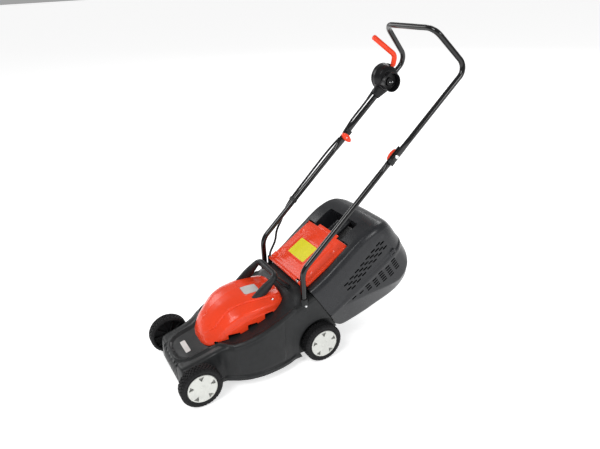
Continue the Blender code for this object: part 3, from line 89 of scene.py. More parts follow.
UPPER_X = LOWER_X + 2 * FLAT_HALF + 0.0006
SOCKET_Y = WHEELBASE - 0.050
SOCKET_TOP = 0.244
BEND = Vector((0.0, SOCKET_Y, 0.3445))
FOLD = BEND + 0.4825 * UP_TUBE
SWITCH = FOLD + 0.265 * UP_TUBE + 0.026 * OFF_TUBE
SPLIT_X = -UPPER_X
SHROUD = SWITCH + Vector((0.0, -0.008, -0.011))
PIVOT = SWITCH + Vector((0.0, 0.0, 0.004))
LEVER_X = SPLIT_X + 0.0205
CABLE = 0.004
SPLIT_LEVEL = -0.138
BOX_HALF = TRACK_HALF - 0.017
X_AXIS = Vector((1, 0, 0))
SIDES = (("left", 1.0), ("right", -1.0))


# ---------------------------------------------------------------- numbers

def smoothstep(value):
    value = np.clip(value, 0.0, 1.0)
    return value * value * (3 - 2 * value)


def curve_through(xs, ys, x):
    """Monotone cubic through the rows, for one or more columns."""
    xs = np.asarray(xs, float)
    ys = np.asarray(ys, float)
    x = np.asarray(x, float)
    step = np.diff(xs)
    if ys.ndim == 2:
        step = step[:, None]
    slope = np.diff(ys, axis=0) / step
    a, b = slope[:-1], slope[1:]
    wa = 2 * step[1:] + step[:-1]
    wb = step[1:] + 2 * step[:-1]
    with np.errstate(divide="ignore", invalid="ignore"):
        mean = (wa + wb) / (wa / a + wb / b)
    mean = np.where(a * b > 0, mean, 0.0)
    tangent = np.concatenate((slope[:1], mean, slope[-1:]))
    k = np.clip(np.searchsorted(xs, x, side="right") - 1, 0, len(xs) - 2)
    width = (xs[k + 1] - xs[k])
    t = np.clip((x - xs[k]) / width, 0.0, 1.0)
    if ys.ndim == 2:
        t = t[:, None]
        width = width[:, None]
    return ((2 * t ** 3 - 3 * t ** 2 + 1) * ys[k] + (t ** 3 - 2 * t ** 2 + t) * width * tangent[k]
            + (3 * t ** 2 - 2 * t ** 3) * ys[k + 1] + (t ** 3 - t ** 2) * width * tangent[k + 1])


def rounded(points, radii, counts, arc=4):
    """An open profile with rounded corners; each straight run is split into its own count."""
    points = [np.array(p, float) for p in points]
    out = []
    last = points[0]
    for i in range(1, len(points)):
        corner = points[i]
        if i < len(points) - 1:
            back = points[i - 1] - corner
            ahead = points[i + 1] - corner
            reach = min(radii[i], 0.46 * np.linalg.norm(back), 0.46 * np.linalg.norm(ahead))
            start = corner + back / max(np.linalg.norm(back), 1e-9) * reach
            end = corner + ahead / max(np.linalg.norm(ahead), 1e-9) * reach
        else:
            start = end = corner
        n = counts[i - 1]
        out += [last + (start - last) * k / n for k in range(n)]
        if i < len(points) - 1:
            for k in range(arc):
                t = k / arc
                out.append((1 - t) ** 2 * start + 2 * t * (1 - t) * corner + t ** 2 * end)
        else:
            out.append(start)
        last = end
    return np.array(out)


def distance_to_line(points, line):
    """Distance in 2-D from each point to a chain of points."""
    best = np.full(len(points), 1e9)
    for a, b in zip(line[:-1], line[1:]):
        d = b - a
        t = np.clip(((points - a) @ d) / max(d @ d, 1e-12), 0.0, 1.0)
        best = np.minimum(best, np.linalg.norm(points - (a + t[:, None] * d), axis=1))
    return best


def rounded_rect(u, v, half_u, half_v, radius):
    """Signed distance to a rounded rectangle, negative inside."""
    du = np.abs(u) - (half_u - radius)
    dv = np.abs(v) - (half_v - radius)
    outside = np.hypot(np.maximum(du, 0.0), np.maximum(dv, 0.0))
    return outside + np.minimum(np.maximum(du, dv), 0.0) - radius


# ---------------------------------------------------------------- meshes

def new_object(name, mesh, sharp=38):
    mesh.shade_smooth()
    mesh.set_sharp_from_angle(angle=math.radians(sharp))
    piece = bpy.data.objects.new(name, mesh)
    bpy.context.scene.collection.objects.link(piece)
    return piece


def from_bm(name, bm, sharp=38):
    mesh = bpy.data.meshes.new(name)
    bm.to_mesh(mesh)
    bm.free()
    return new_object(name, mesh, sharp)


def loft(name, rings, sharp=38):
    """A closed solid through rings (an array of ring, point, xyz) with flat ends."""
    rings = np.asarray(rings, float)
    rows, count = rings.shape[:2]
    verts = rings.reshape(-1, 3)
    i = np.arange(rows - 1)[:, None] * count
    j = np.arange(count)[None, :]
    k = (j + 1) % count
    quads = np.stack((i + j, i + k, i + count + k, i + count + j), -1).reshape(-1, 4)
    faces = [tuple(q) for q in quads.tolist()]
    faces.append(tuple(range(count - 1, -1, -1)))
    faces.append(tuple(range((rows - 1) * count, rows * count)))
    mesh = bpy.data.meshes.new(name)
    mesh.from_pydata(verts.tolist(), [], faces)
    bm = bmesh.new()
    bm.from_mesh(mesh)
    bmesh.ops.recalc_face_normals(bm, faces=bm.faces)
    bm.to_mesh(mesh)
    bm.free()
    return new_object(name, mesh, sharp)


def displace(piece, amount):
    """Move each vertex along its normal by amount(places, normals)."""
    mesh = piece.data
    count = len(mesh.vertices)
    co = np.empty(count * 3)
    no = np.empty(count * 3)
    mesh.vertices.foreach_get("co", co)
    mesh.vertex_normals.foreach_get("vector", no)
    co = co.reshape(-1, 3)
    no = no.reshape(-1, 3)
    co = co + no * amount(co, no)[:, None]
    mesh.vertices.foreach_set("co", co.ravel())
    mesh.update()


def boolean(piece, tools, operation="DIFFERENCE", solver="MANIFOLD", sharp=38):
    """Apply one boolean with each tool in turn, then drop the tools."""
    name = piece.name
    for tool in tools:
        step = piece.modifiers.new("step", "BOOLEAN")
        step.operation = operation
        step.solver = solver
        step.object = tool
    bpy.context.view_layer.update()
    mesh = bpy.data.meshes.new_from_object(piece.evaluated_get(bpy.context.evaluated_depsgraph_get()))
    piece.modifiers.clear()
    old = piece.data
    piece.data = mesh
    bpy.data.meshes.remove(old)
    for tool in tools:
        bpy.data.objects.remove(tool)
    mesh.name = name
    mesh.shade_smooth()
    mesh.set_sharp_from_angle(angle=math.radians(sharp))
    return piece


def joined(name, pieces, sharp=38):
    """Several pieces as one object."""
    bm = bmesh.new()
    for piece in pieces:
        mesh = piece.data
        mesh.transform(piece.matrix_world)
        bm.from_mesh(mesh)
        bpy.data.objects.remove(piece)
    return from_bm(name, bm, sharp)


def block(low, high, bevel=0.0, name="block", segments=3):
    """A box between two corners with rounded edges."""
    low, high = Vector(low), Vector(high)
    bm = bmesh.new()
    size = Matrix.Diagonal((*(high - low), 1.0))
    bmesh.ops.create_cube(bm, size=1.0, matrix=Matrix.Translation((low + high) / 2) @ size)
    if bevel:
        bmesh.ops.bevel(bm, geom=bm.edges[:], offset=bevel, segments=segments, profile=0.5,
                        affect="EDGES", clamp_overlap=True)
    return from_bm(name, bm)


def rear_matrix():
    turn = Matrix((X_AXIS, ABOVE, ALONG)).transposed().to_4x4()
    return Matrix.Translation(HINGE) @ turn


def rear_block(x, along, above, bevel=0.0, name="block"):
    """A rounded box in the leaning frame of the rear opening."""
    piece = block((x[0], above[0], along[0]), (x[1], above[1], along[1]), bevel, name)
    piece.data.transform(rear_matrix())
    piece.data.flip_normals()
    return piece


def rear_array(x, along, above):
    out = np.empty((len(x), 3))
    out[:, 0] = x
    out[:, 1] = HINGE.y + along * ALONG.y + above * ABOVE.y
    out[:, 2] = HINGE.z + along * ALONG.z + above * ABOVE.z
    return out


def to_rear(co):
    """(x, along, above) of places."""
    y = co[:, 1] - HINGE.y
    z = co[:, 2] - HINGE.z
    return co[:, 0], y * ALONG.y + z * ALONG.z, y * ABOVE.y + z * ABOVE.z


def rod(start, end, radius, end_radius=None, sides=40, bevel=0.0, name="rod"):
    start, end = Vector(start), Vector(end)
    line = end - start
    turn = line.to_track_quat("Z", "Y").to_matrix().to_4x4()
    bm = bmesh.new()
    bmesh.ops.create_cone(bm, cap_ends=True, segments=sides, radius1=radius,
                          radius2=radius if end_radius is None else end_radius, depth=line.length,
                          matrix=Matrix.Translation((start + end) / 2) @ turn)
    if bevel:
        rims = [e for e in bm.edges if any(len(f.verts) > 4 for f in e.link_faces)]
        bmesh.ops.bevel(bm, geom=rims, offset=bevel, segments=3, profile=0.5, affect="EDGES")
    return from_bm(name, bm)


def turned(name, profile, place, axis, steps=96, corner=0.0007, wave=None, sharp=38):
    """A closed profile of (radius, height) turned about an axis, with its corners rounded.

    wave(angle, radius, height) gives what is added to the radius."""
    pts = [np.array(p, float) for p in profile]
    ring = []
    for i, p in enumerate(pts):
        before = pts[i - 1] - p
        after = pts[(i + 1) % len(pts)] - p
        on_axis = p[0] < 1e-6
        reach = min(corner, 0.4 * np.linalg.norm(before), 0.4 * np.linalg.norm(after))
        if on_axis or reach < 1e-6:
            ring.append(p)
            continue
        start = p + before / np.linalg.norm(before) * reach
        end = p + after / np.linalg.norm(after) * reach
        for t in (0.0, 0.33, 0.67, 1.0):
            ring.append((1 - t) ** 2 * start + 2 * t * (1 - t) * p + t * t * end)
    turn = Vector(axis).to_track_quat("Z", "Y").to_matrix().to_4x4()
    move = Matrix.Translation(Vector(place)) @ turn
    bm = bmesh.new()
    rows = []
    for s in range(steps):
        angle = 2 * math.pi * s / steps
        row = []
        for r, h in ring:
            extra = wave(angle, r, h) if wave else 0.0
            row.append(bm.verts.new(((r + extra) * math.cos(angle), (r + extra) * math.sin(angle), h)))
        rows.append(row)
    count = len(ring)
    for s in range(steps):
        a, b = rows[s], rows[(s + 1) % steps]
        for i in range(count):
            j = (i + 1) % count
            if ring[i][0] < 1e-6 and ring[j][0] < 1e-6:
                continue
            bm.faces.new((a[i], b[i], b[j], a[j]))
    bmesh.ops.remove_doubles(bm, verts=bm.verts, dist=1e-7)
    bmesh.ops.recalc_face_normals(bm, faces=bm.faces)
    bm.transform(move)
    return from_bm(name, bm, sharp)


def sweep(name, stations, sides=36, ends=True):
    """A bar along (point, half across, half along the normal), with domed ends."""
    rings = []
    across = X_AXIS.copy()
    last = len(stations) - 1
    for i, (point, half_x, half_n) in enumerate(stations):
        before = Vector(stations[max(i - 1, 0)][0])
        after = Vector(stations[min(i + 1, last)][0])
        tangent = (after - before).normalized()
        across = (across - tangent * across.dot(tangent)).normalized()
        normal = tangent.cross(across)
        ring = []
        for k in range(sides):
            a = 2 * math.pi * k / sides
            ring.append(Vector(point) + across * half_x * math.cos(a) + normal * half_n * math.sin(a))
        if ends and i in (0, last):
            out = -tangent if i == 0 else tangent
            caps = []
            for size, reach in ((0.0, 0.0012), (0.55, 0.0012), (0.85, 0.0008), (0.97, 0.0002)):
                caps.append([Vector(point) + (p - Vector(point)) * max(size, 0.01) + out * (reach - 0.0012)
                             for p in ring])
            if i == 0:
                rings += caps
            else:
                rings.append(ring)
                rings += caps[::-1]
                continue
        rings.append(ring)
    return loft(name, [[tuple(p) for p in ring] for ring in rings])


def rounded_path(corners, radii, steps=14):
    points = [Vector(corners[0])]
    for before, corner, after, radius in zip(corners, corners[1:], corners[2:], radii):
        inward = (Vector(before) - Vector(corner)).normalized()
        outward = (Vector(after) - Vector(corner)).normalized()
        half = inward.angle(outward) / 2
        reach = radius / math.tan(half)
        centre = Vector(corner) + (inward + outward).normalized() * radius / math.sin(half)
        start = Vector(corner) + inward * reach - centre
        end = Vector(corner) + outward * reach - centre
        span = start.angle(end)
        for k in range(steps + 1):
            t = k / steps
            points.append(centre + (start * math.sin((1 - t) * span) + end * math.sin(t * span))
                          / math.sin(span))
    points.append(Vector(corners[-1]))
    return points


def spaced(points, step):
    """The same path with a point at least every step."""
    out = [Vector(points[0])]
    for a, b in zip(points, points[1:]):
        a, b = Vector(a), Vector(b)
        n = max(int((b - a).length / step), 1)
        out += [a + (b - a) * (k + 1) / n for k in range(n)]
    return out


def smooth_route(corners, per_span=10):
    points = [Vector(corner) for corner in corners]
    padded = [points[0] * 2 - points[1]] + points + [points[-1] * 2 - points[-2]]
    route = []
    for a, b, c, d in zip(padded, padded[1:], padded[2:], padded[3:]):
        for k in range(per_span):
            t = k / per_span
            route.append(0.5 * (2 * b + (c - a) * t + (2 * a - 5 * b + 4 * c - d) * t * t
                                + (3 * b - a - 3 * c + d) * t ** 3))
    route.append(points[-1])
    return route


def patch(name, target, centre, half, radius, lift, direction, along, across, grid=28, thick=0.0012):
    """A thin plate with rounded corners that lies on a surface, found along a direction."""
    bm = bmesh.new()
    bm.from_mesh(target.data)
    tree = BVHTree.FromBMesh(bm)
    bm.free()
    direction = Vector(direction).normalized()
    along, across = Vector(along).normalized(), Vector(across).normalized()
    u = np.linspace(-1, 1, grid)
    tops = {}
    bm = bmesh.new()

    def squircle(a, b):
        """A square grid drawn in to a rounded rectangle."""
        x, y = a * half[0], b * half[1]
        cx, cy = half[0] - radius, half[1] - radius
        if abs(x) > cx and abs(y) > cy:
            ex, ey = abs(x) - cx, abs(y) - cy
            m = max(ex, ey)
            d = math.hypot(ex, ey)
            if d > 0:
                x = math.copysign(cx + ex * m / d, x)
                y = math.copysign(cy + ey * m / d, y)
        return x, y

    for layer in (0, 1):
        for i, a in enumerate(u):
            for j, b in enumerate(u):
                x, y = squircle(a, b)
                start = Vector(centre) + along * x + across * y - direction * 0.1
                hit, _, _, _ = tree.ray_cast(start, direction, 0.3)
                if hit is None:
                    raise RuntimeError(name + " misses its surface")
                rise = lift if layer else lift - thick
                tops[layer, i, j] = bm.verts.new(hit - direction * rise)
    for layer in (0, 1):
        for i in range(grid - 1):
            for j in range(grid - 1):
                bm.faces.new([tops[layer, i, j], tops[layer, i + 1, j], tops[layer, i + 1, j + 1],
                              tops[layer, i, j + 1]])
    edge = [(i, 0) for i in range(grid - 1)] + [(grid - 1, j) for j in range(grid - 1)]
    edge += [(grid - 1 - i, grid - 1) for i in range(grid - 1)] + [(0, grid - 1 - j) for j in range(grid - 1)]
    for a, b in zip(edge, edge[1:] + edge[:1]):
        bm.faces.new([tops[(0, *a)], tops[(0, *b)], tops[(1, *b)], tops[(1, *a)]])
    bmesh.ops.recalc_face_normals(bm, faces=bm.faces)
    return from_bm(name, bm)


# ---------------------------------------------------------------- materials

def procedural(name, colour, rough, metal=0.0, vary=0.12, scale=60.0, rough_vary=0.08, bump=0.05,
               bump_scale=700.0, stretch=(1, 1, 1), dust=0.0, coat=0.0, edge=0.0006, distort=0.0, ior=1.5):
    """Colour clouds, uneven gloss, a fine moulded or brushed grain, dust on upward faces, soft edges."""
    mat = bpy.data.materials.new(name)
    mat.use_nodes = True
    nodes, links = mat.node_tree.nodes, mat.node_tree.links
    shader = nodes["Principled BSDF"]
    shader.inputs["Metallic"].default_value = metal
    shader.inputs["Coat Weight"].default_value = coat
    shader.inputs["Coat Roughness"].default_value = 0.08
    shader.inputs["IOR"].default_value = ior
    where = nodes.new("ShaderNodeTexCoord")
    mapping = nodes.new("ShaderNodeMapping")
    mapping.inputs["Scale"].default_value = stretch
    links.new(where.outputs["Object"], mapping.inputs["Vector"])

    def noise(size, detail, roughness=0.55):
        tex = nodes.new("ShaderNodeTexNoise")
        tex.inputs["Scale"].default_value = size
        tex.inputs["Detail"].default_value = detail
        tex.inputs["Roughness"].default_value = roughness
        tex.inputs["Distortion"].default_value = distort
        links.new(mapping.outputs["Vector"], tex.inputs["Vector"])
        return tex

    def spread(source, low, high, out_low, out_high):
        node = nodes.new("ShaderNodeMapRange")
        node.inputs["From Min"].default_value = low
        node.inputs["From Max"].default_value = high
        node.inputs["To Min"].default_value = out_low
        node.inputs["To Max"].default_value = out_high
        links.new(source, node.inputs["Value"])
        return node.outputs["Result"]

    clouds = noise(scale, 4.0)
    ramp = nodes.new("ShaderNodeMix")
    ramp.data_type = "RGBA"
    dark = tuple(c * (1 - vary) for c in colour)
    light = tuple(min(c * (1 + vary), 1.0) for c in colour)
    ramp.inputs["A"].default_value = (*dark, 1)
    ramp.inputs["B"].default_value = (*light, 1)
    links.new(spread(clouds.outputs["Fac"], 0.3, 0.7, 0.0, 1.0), ramp.inputs["Factor"])
    base = ramp.outputs["Result"]
    speckle = noise(bump_scale * 0.6, 2.0)
    fleck = nodes.new("ShaderNodeMix")
    fleck.data_type = "RGBA"
    fleck.blend_type = "MULTIPLY"
    fleck.inputs["B"].default_value = (0.90, 0.90, 0.91, 1)
    links.new(spread(speckle.outputs["Fac"], 0.45, 0.7, 0.0, 0.55), fleck.inputs["Factor"])
    links.new(base, fleck.inputs["A"])
    base = fleck.outputs["Result"]
    if dust:
        geometry = nodes.new("ShaderNodeNewGeometry")
        split = nodes.new("ShaderNodeSeparateXYZ")
        links.new(geometry.outputs["Normal"], split.inputs["Vector"])
        up = spread(split.outputs["Z"], 0.3, 1.0, 0.0, dust)
        patchy = noise(22.0, 6.0, 0.65)
        both = nodes.new("ShaderNodeMath")
        both.operation = "MULTIPLY"
        links.new(up, both.inputs[0])
        links.new(spread(patchy.outputs["Fac"], 0.42, 0.75, 0.2, 1.0), both.inputs[1])
        film = nodes.new("ShaderNodeMix")
        film.data_type = "RGBA"
        film.inputs["B"].default_value = (0.32, 0.32, 0.31, 1)
        links.new(both.outputs[0], film.inputs["Factor"])
        links.new(base, film.inputs["A"])
        base = film.outputs["Result"]
    links.new(base, shader.inputs["Base Color"])
    wear = noise(scale * 0.35, 5.0, 0.6)
    smooth, dull = max(rough - rough_vary, 0.03), min(rough + rough_vary, 1)
    links.new(spread(wear.outputs["Fac"], 0.3, 0.7, smooth, dull), shader.inputs["Roughness"])
    grain = noise(bump_scale, 3.0)
    bump_node = nodes.new("ShaderNodeBump")
    bump_node.inputs["Strength"].default_value = min(bump * 6, 1.0)
    bump_node.inputs["Distance"].default_value = 0.0001
    links.new(grain.outputs["Fac"], bump_node.inputs["Height"])
    if edge:
        soft = nodes.new("ShaderNodeBevel")
        soft.samples = 4
        soft.inputs["Radius"].default_value = edge
        links.new(soft.outputs["Normal"], bump_node.inputs["Normal"])
    links.new(bump_node.outputs["Normal"], shader.inputs["Normal"])
    return mat


M = {
    "deck": procedural("deck_plastic", (0.016, 0.017, 0.018), 0.38, dust=0.03, bump=0.10,
                       bump_scale=900, ior=1.36),
    "red": procedural("orange_red_plastic", (0.95, 0.062, 0.016), 0.26, vary=0.05, scale=18, bump=0.05,
                      bump_scale=800, rough_vary=0.05, coat=0.15, ior=1.34),
    "box": procedural("box_plastic", (0.017, 0.018, 0.021), 0.30, dust=0.03, bump=0.12,
                      bump_scale=1100, ior=1.42),
    "handle": procedural("handle_plastic", (0.018, 0.019, 0.020), 0.38, bump=0.10, bump_scale=900, ior=1.36),
    "tyre": procedural("tyre_rubber", (0.009, 0.009, 0.010), 0.60, vary=0.2, scale=90, bump=0.14,
                       bump_scale=1300, dust=0.03, ior=1.3),
    "cap": procedural("cap_grey", (0.70, 0.71, 0.67), 0.38, vary=0.04, scale=40, bump=0.06, bump_scale=900),
    # dish: the grey floor seen through the hub-cap triangles, painted darker than the cap as the shade inside
    # those recesses
    "dish": procedural("dish_grey_painted_shade", (0.30, 0.30, 0.29), 0.45, vary=0.08, scale=40, bump=0.06, bump_scale=900),
    "tube": procedural("black_paint_gloss", (0.003, 0.003, 0.0035), 0.13, vary=0.2, scale=30, bump=0.03,
                       bump_scale=420, rough_vary=0.05, coat=0.5, ior=1.36),
    "switch": procedural("switch_plastic", (0.006, 0.006, 0.007), 0.30, bump=0.12, bump_scale=1100, ior=1.34),
    "cable": procedural("cable_rubber", (0.016, 0.016, 0.017), 0.55, vary=0.2, bump=0.10,
                        bump_scale=1000, ior=1.35),
    "yellow": procedural("yellow_label", (0.88, 0.80, 0.03), 0.34, vary=0.04, scale=30, bump=0.03,
                         bump_scale=500, ior=1.3),
    "plate": procedural("blank_plate", (0.62, 0.60, 0.58), 0.24, vary=0.04, scale=30, bump=0.03,
                        bump_scale=500),
    "badge": procedural("blank_badge", (0.72, 0.70, 0.68), 0.24, vary=0.08, scale=30, bump=0.03,
                        bump_scale=500),
    "steel": procedural("brushed_steel", (0.58, 0.58, 0.57), 0.30, 1.0, vary=0.10, scale=35, bump=0.12,
                        bump_scale=260, stretch=(1, 1, 9), rough_vary=0.10, edge=0.0003),
    "blade": procedural("ground_steel", (0.42, 0.42, 0.43), 0.34, 1.0, vary=0.18, scale=25, bump=0.16,
                        bump_scale=220, stretch=(1, 9, 1), rough_vary=0.12, edge=0.0004),
    "chrome": procedural("bright_zinc", (0.74, 0.75, 0.76), 0.16, 1.0, vary=0.05, scale=60, bump=0.04,
                         bump_scale=600, rough_vary=0.05, edge=0.0003),
    "dark_steel": procedural("dark_steel", (0.17, 0.17, 0.18), 0.42, 1.0, vary=0.15, scale=45, bump=0.12,
                             bump_scale=420, edge=0.0004),
    "copper": procedural("wound_copper", (0.66, 0.30, 0.14), 0.36, 1.0, vary=0.15, scale=70, bump=0.30,
                         bump_scale=120, stretch=(1, 1, 8), edge=0.0004),
    "inner": procedural("inner_plastic", (0.020, 0.020, 0.022), 0.55, bump=0.10, bump_scale=900),
}


def finished(piece, body, material, replaces=()):
    """Move a piece into the frame, give it its body and material, and hide the CAD nodes it stands for."""
    piece.data.transform(Matrix.Translation(SHIFT))
    piece.data.materials.clear()
    piece.data.materials.append(M[material])
    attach(piece, body)
    if replaces:
        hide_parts(*replaces)
    return piece


def both(half):
    """A whole ring from its right half, bottom centre to top centre."""
    other = half[1:-1][::-1] * np.array([-1.0, 1.0])
    return np.concatenate((half, other))


# ---------------------------------------------------------------- deck

def bulge(y):
    depth = 0.19 if y < MOTOR_Y else 0.25
    return DECK_HALF * math.sqrt(1 - ((y - MOTOR_Y - 0.004) / depth) ** 2)


def deck_table():
    n, p, b = NOSE_HALF, PANEL_HALF, WHEELBASE
    return [
        (-0.044, n * 0.72, n * 0.66, 0.094, 0.094, 0.094), (-0.037, n * 0.89, n * 0.80, 0.102, 0.101, 0.100),
        (-0.024, n * 0.975, n * 0.83, 0.106, 0.104, 0.103), (0.0, n, n * 0.840, 0.112, 0.110, 0.109),
        (0.092 * b, n, n * 0.850, 0.122, 0.119, 0.118), (0.165 * b, n, n * 0.880, 0.133, 0.128, 0.127),
        (0.206 * b, n, n * 0.930, 0.142, 0.138, 0.136),
        (0.245 * b, bulge(0.245 * b), n * 0.985, 0.149, 0.147, 0.147),
        (0.300 * b, bulge(0.300 * b), bulge(0.300 * b) - 0.016, 0.152, 0.152, 0.153),
        (0.390 * b, bulge(0.390 * b), bulge(0.390 * b) - 0.017, 0.160, 0.161, 0.163),
        (0.500 * b, bulge(0.500 * b), bulge(0.500 * b) - 0.017, 0.173, 0.175, 0.178),
        (0.620 * b, bulge(0.620 * b), bulge(0.620 * b) - 0.016, 0.189, 0.192, 0.196),
        (0.710 * b, bulge(0.710 * b), p + 0.001, 0.203, 0.208, 0.214),
        (0.780 * b, bulge(0.780 * b), p, 0.214, 0.226, 0.234), (0.830 * b, p + 0.002, p, 0.222, 0.246, 0.254),
        (0.880 * b, p + 0.001, p, 0.230, 0.259, 0.263), (1.000 * b, p + 0.001, p, 0.248, 0.263, 0.264),
        (1.300 * b, p + 0.001, p, 0.260, 0.264, 0.265),
    ]


def deck_rows(ys):
    table = np.array(deck_table())
    return curve_through(table[:, 0], table[:, 1:], ys)


def deck_form(name, inset, start, end, bottom, step=0.003, fine=True):
    count = max(int((end - start) / step), 2)
    ys = np.linspace(start, end, count)
    if inset <= 0:
        ys = np.concatenate((start + np.array([0.0, 0.0005, 0.0014, 0.003, 0.005]), ys[ys > start + 0.0065]))
    rings = []
    for y, (skirt, shoulder, ridge, inner, centre) in zip(ys, deck_rows(ys)):
        flange = 0.005 if inset <= 0 else 0.0
        low = 0.030
        half = [
            (0.0, bottom), (skirt + flange - inset, bottom), (skirt + flange - inset, low + 0.012),
            (skirt - inset, low + 0.0165), ((skirt + shoulder) / 2 + 0.003 - inset, (low + ridge) / 2),
            (shoulder + 0.004 - inset, ridge - 0.014 - inset * 0.5),
            (shoulder - 0.001 - inset, ridge - 0.003 - inset),
            (shoulder - 0.012 - inset * 0.5, ridge - inset),
            (shoulder * 0.66, inner - inset), (0.0, centre - inset),
        ]
        radii = (0, 0.0015, 0.002, 0.003, 0.02, 0.007, 0.006, 0.008, 0.03, 0)
        counts = (3, 2, 2, 6, 6, 3, 3, 14, 26) if fine else (2, 1, 1, 2, 2, 1, 1, 4, 5)
        ring = both(rounded(half, radii, counts, 4 if fine else 2))
        if inset <= 0 and y < start + 0.0065:
            sink = (1 - (y - start) / 0.0065) ** 2 * 0.004
            ring = ring * np.array([1.0 - sink / 0.14, 1.0])
            ring[:, 1] -= np.where(ring[:, 1] > 0.08, sink, 0.0)
        rings.append(np.column_stack((ring[:, 0], np.full(len(ring), y), ring[:, 1])))
    return loft(name, rings)


BEAD = np.array([
    (0.0, -0.0365), (0.034, -0.0350), (0.056, -0.0270), (0.070, -0.010), (0.077, 0.012), (0.080, 0.040),
    (0.083, 0.068), (0.089, 0.086), (0.099, 0.098), (0.115, 0.106), (0.130, 0.117), (0.1435, 0.134),
    (0.154, 0.165), (0.1600, 0.200), (0.1625, 0.236), (0.1605, 0.275), (0.1570, 0.315), (0.1520, 0.350),
])


def deck_relief(co, no):
    """The rounded bead that frames the nose and runs back along each shoulder, and the sunk top."""
    flat = np.column_stack((np.abs(co[:, 0]), co[:, 1]))
    upper = smoothstep((no[:, 2] - 0.15) / 0.3) * smoothstep((co[:, 2] - 0.085) / 0.01)
    d = distance_to_line(flat, BEAD)
    bead = 0.0046 * smoothstep(1.15 - d / 0.0080)
    inside = flat[:, 0] < np.interp(co[:, 1], BEAD[1:, 1], BEAD[1:, 0]) - 0.006
    inside = inside & (co[:, 1] > -0.031) & (co[:, 1] < 0.36)
    sunk = np.where(inside, -0.0013 * smoothstep(d / 0.006 - 1), 0.0)
    wall = smoothstep((np.abs(no[:, 0]) - 0.6) / 0.25) * smoothstep((co[:, 2] - 0.050) / 0.003)
    edge = 0.300 + 0.10 * (co[:, 2] - 0.10)
    panel = 0.0026 * wall * smoothstep((edge - co[:, 1]) / 0.004) * smoothstep((co[:, 1] - 0.118) / 0.02)
    second = distance_to_line(flat, BEAD + np.array([0.0105, 0.0]))
    shade = -0.0012 * smoothstep(1 - second / 0.004) * upper * (co[:, 1] > 0.12)
    return (bead + sunk) * upper + panel + shade


def wheel_pocket(x_sign, grow, y=None):
    y = WHEELBASE if y is None else y
    a = Vector((x_sign * (POCKET_INNER - grow), y, WHEEL_RADIUS))
    b = Vector((x_sign * (TRACK_HALF + 0.05), y, WHEEL_RADIUS))
    return rod(a, b, WHEEL_RADIUS + 0.014 + grow, sides=96)


def make_deck():
    wall = 0.0035
    tunnel_top = 0.106
    seat, seat_bottom = 0.086, 0.116        # the round hole under the motor
    axle_hole = 0.0053
    deck = deck_form("deck_shell", 0.0, -0.044, 1.3 * WHEELBASE, 0.030)
    displace(deck, deck_relief)
    tools = [
        rear_block((-0.4, 0.4), (0.0015, 0.5), (-0.5, 0.3)),
        block((-POCKET_INNER + 0.004, 0.3885, -0.02), (POCKET_INNER - 0.004, 0.85, tunnel_top)),
        block((-0.3, WHEELBASE + 0.020, -0.1), (0.3, 0.85, WHEEL_RADIUS + 0.020)),
        wheel_pocket(1, 0.0), wheel_pocket(-1, 0.0),
        rod((0, MOTOR_Y, seat_bottom), (0, MOTOR_Y, 0.4), seat, sides=72),
    ]
    boolean(deck, tools)
    chamber = deck_form("chamber", wall, 0.044, 1.25 * WHEELBASE, 0.010, 0.008, fine=False)
    tools = [block((-0.3, 0.385, -0.05), (0.3, 0.85, tunnel_top + wall)),
             wheel_pocket(1, wall), wheel_pocket(-1, wall),
             rod((0, MOTOR_Y, seat_bottom - wall), (0, MOTOR_Y, 0.5), seat + wall, sides=72)]
    tools += [rod((s * LOWER_X, SOCKET_Y, 0.195), (s * LOWER_X, SOCKET_Y, SOCKET_TOP), 0.0135, sides=40)
              for _, s in SIDES]
    boolean(chamber, tools)
    nose = deck_form("nose", wall, -0.044 + wall, 0.044 - wall, 0.010, 0.008, fine=False)
    tools = [chamber, nose]
    for y in (0.0, WHEELBASE):
        tools.append(block((-0.3, y - axle_hole, WHEEL_RADIUS - 0.030 - axle_hole),
                           (0.3, y + axle_hole, WHEEL_RADIUS + axle_hole)))
    tools.append(rod((0, MOTOR_Y, 0.096), (0, MOTOR_Y, 0.126), 0.015))
    boolean(deck, tools)
    extras = []
    for i in range(-3, 4):
        x = 0.0215 * i
        path = rounded_path([Vector((x, -0.0405, 0.040)), Vector((x, -0.0425, 0.0955)),
                             Vector((x, -0.026, 0.1015))], [0.006], 8)
        extras.append(sweep("rib", [(p, 0.0030, 0.0046) for p in spaced(path, 0.004)], 20))
    for _, s in SIDES:
        x = s * LOWER_X
        profile = [(0.0098, 0.200), (0.0098, SOCKET_TOP), (0.0128, SOCKET_TOP), (0.0135, SOCKET_TOP - 0.003),
                   (0.0150, 0.200)]
        extras.append(turned("socket", profile, (x, SOCKET_Y, 0.0), (0, 0, 1), 64))
        for angle in range(0, 360, 60):
            turn = Vector((math.cos(math.radians(angle + 30)), math.sin(math.radians(angle + 30)), 0))
            a = Vector((x, SOCKET_Y, 0.206)) + turn * 0.0140
            b = a + Vector((0, 0, 0.034)) - turn * 0.0012
            extras.append(sweep("fin", [(a, 0.0012, 0.0016), (b, 0.0010, 0.0012)], 12))
        low = min(s * 0.130, s * 0.136)
        lug = block((low, HINGE.y - 0.007, HINGE.z - 0.040), (low + 0.006, HINGE.y + 0.006, HINGE.z + 0.007),
                    0.0018)
        extras.append(lug)
    deck = joined("deck_shell", [deck] + extras)
    return finished(deck, "root", "deck", ["deck"])


# ---------------------------------------------------------------- hood

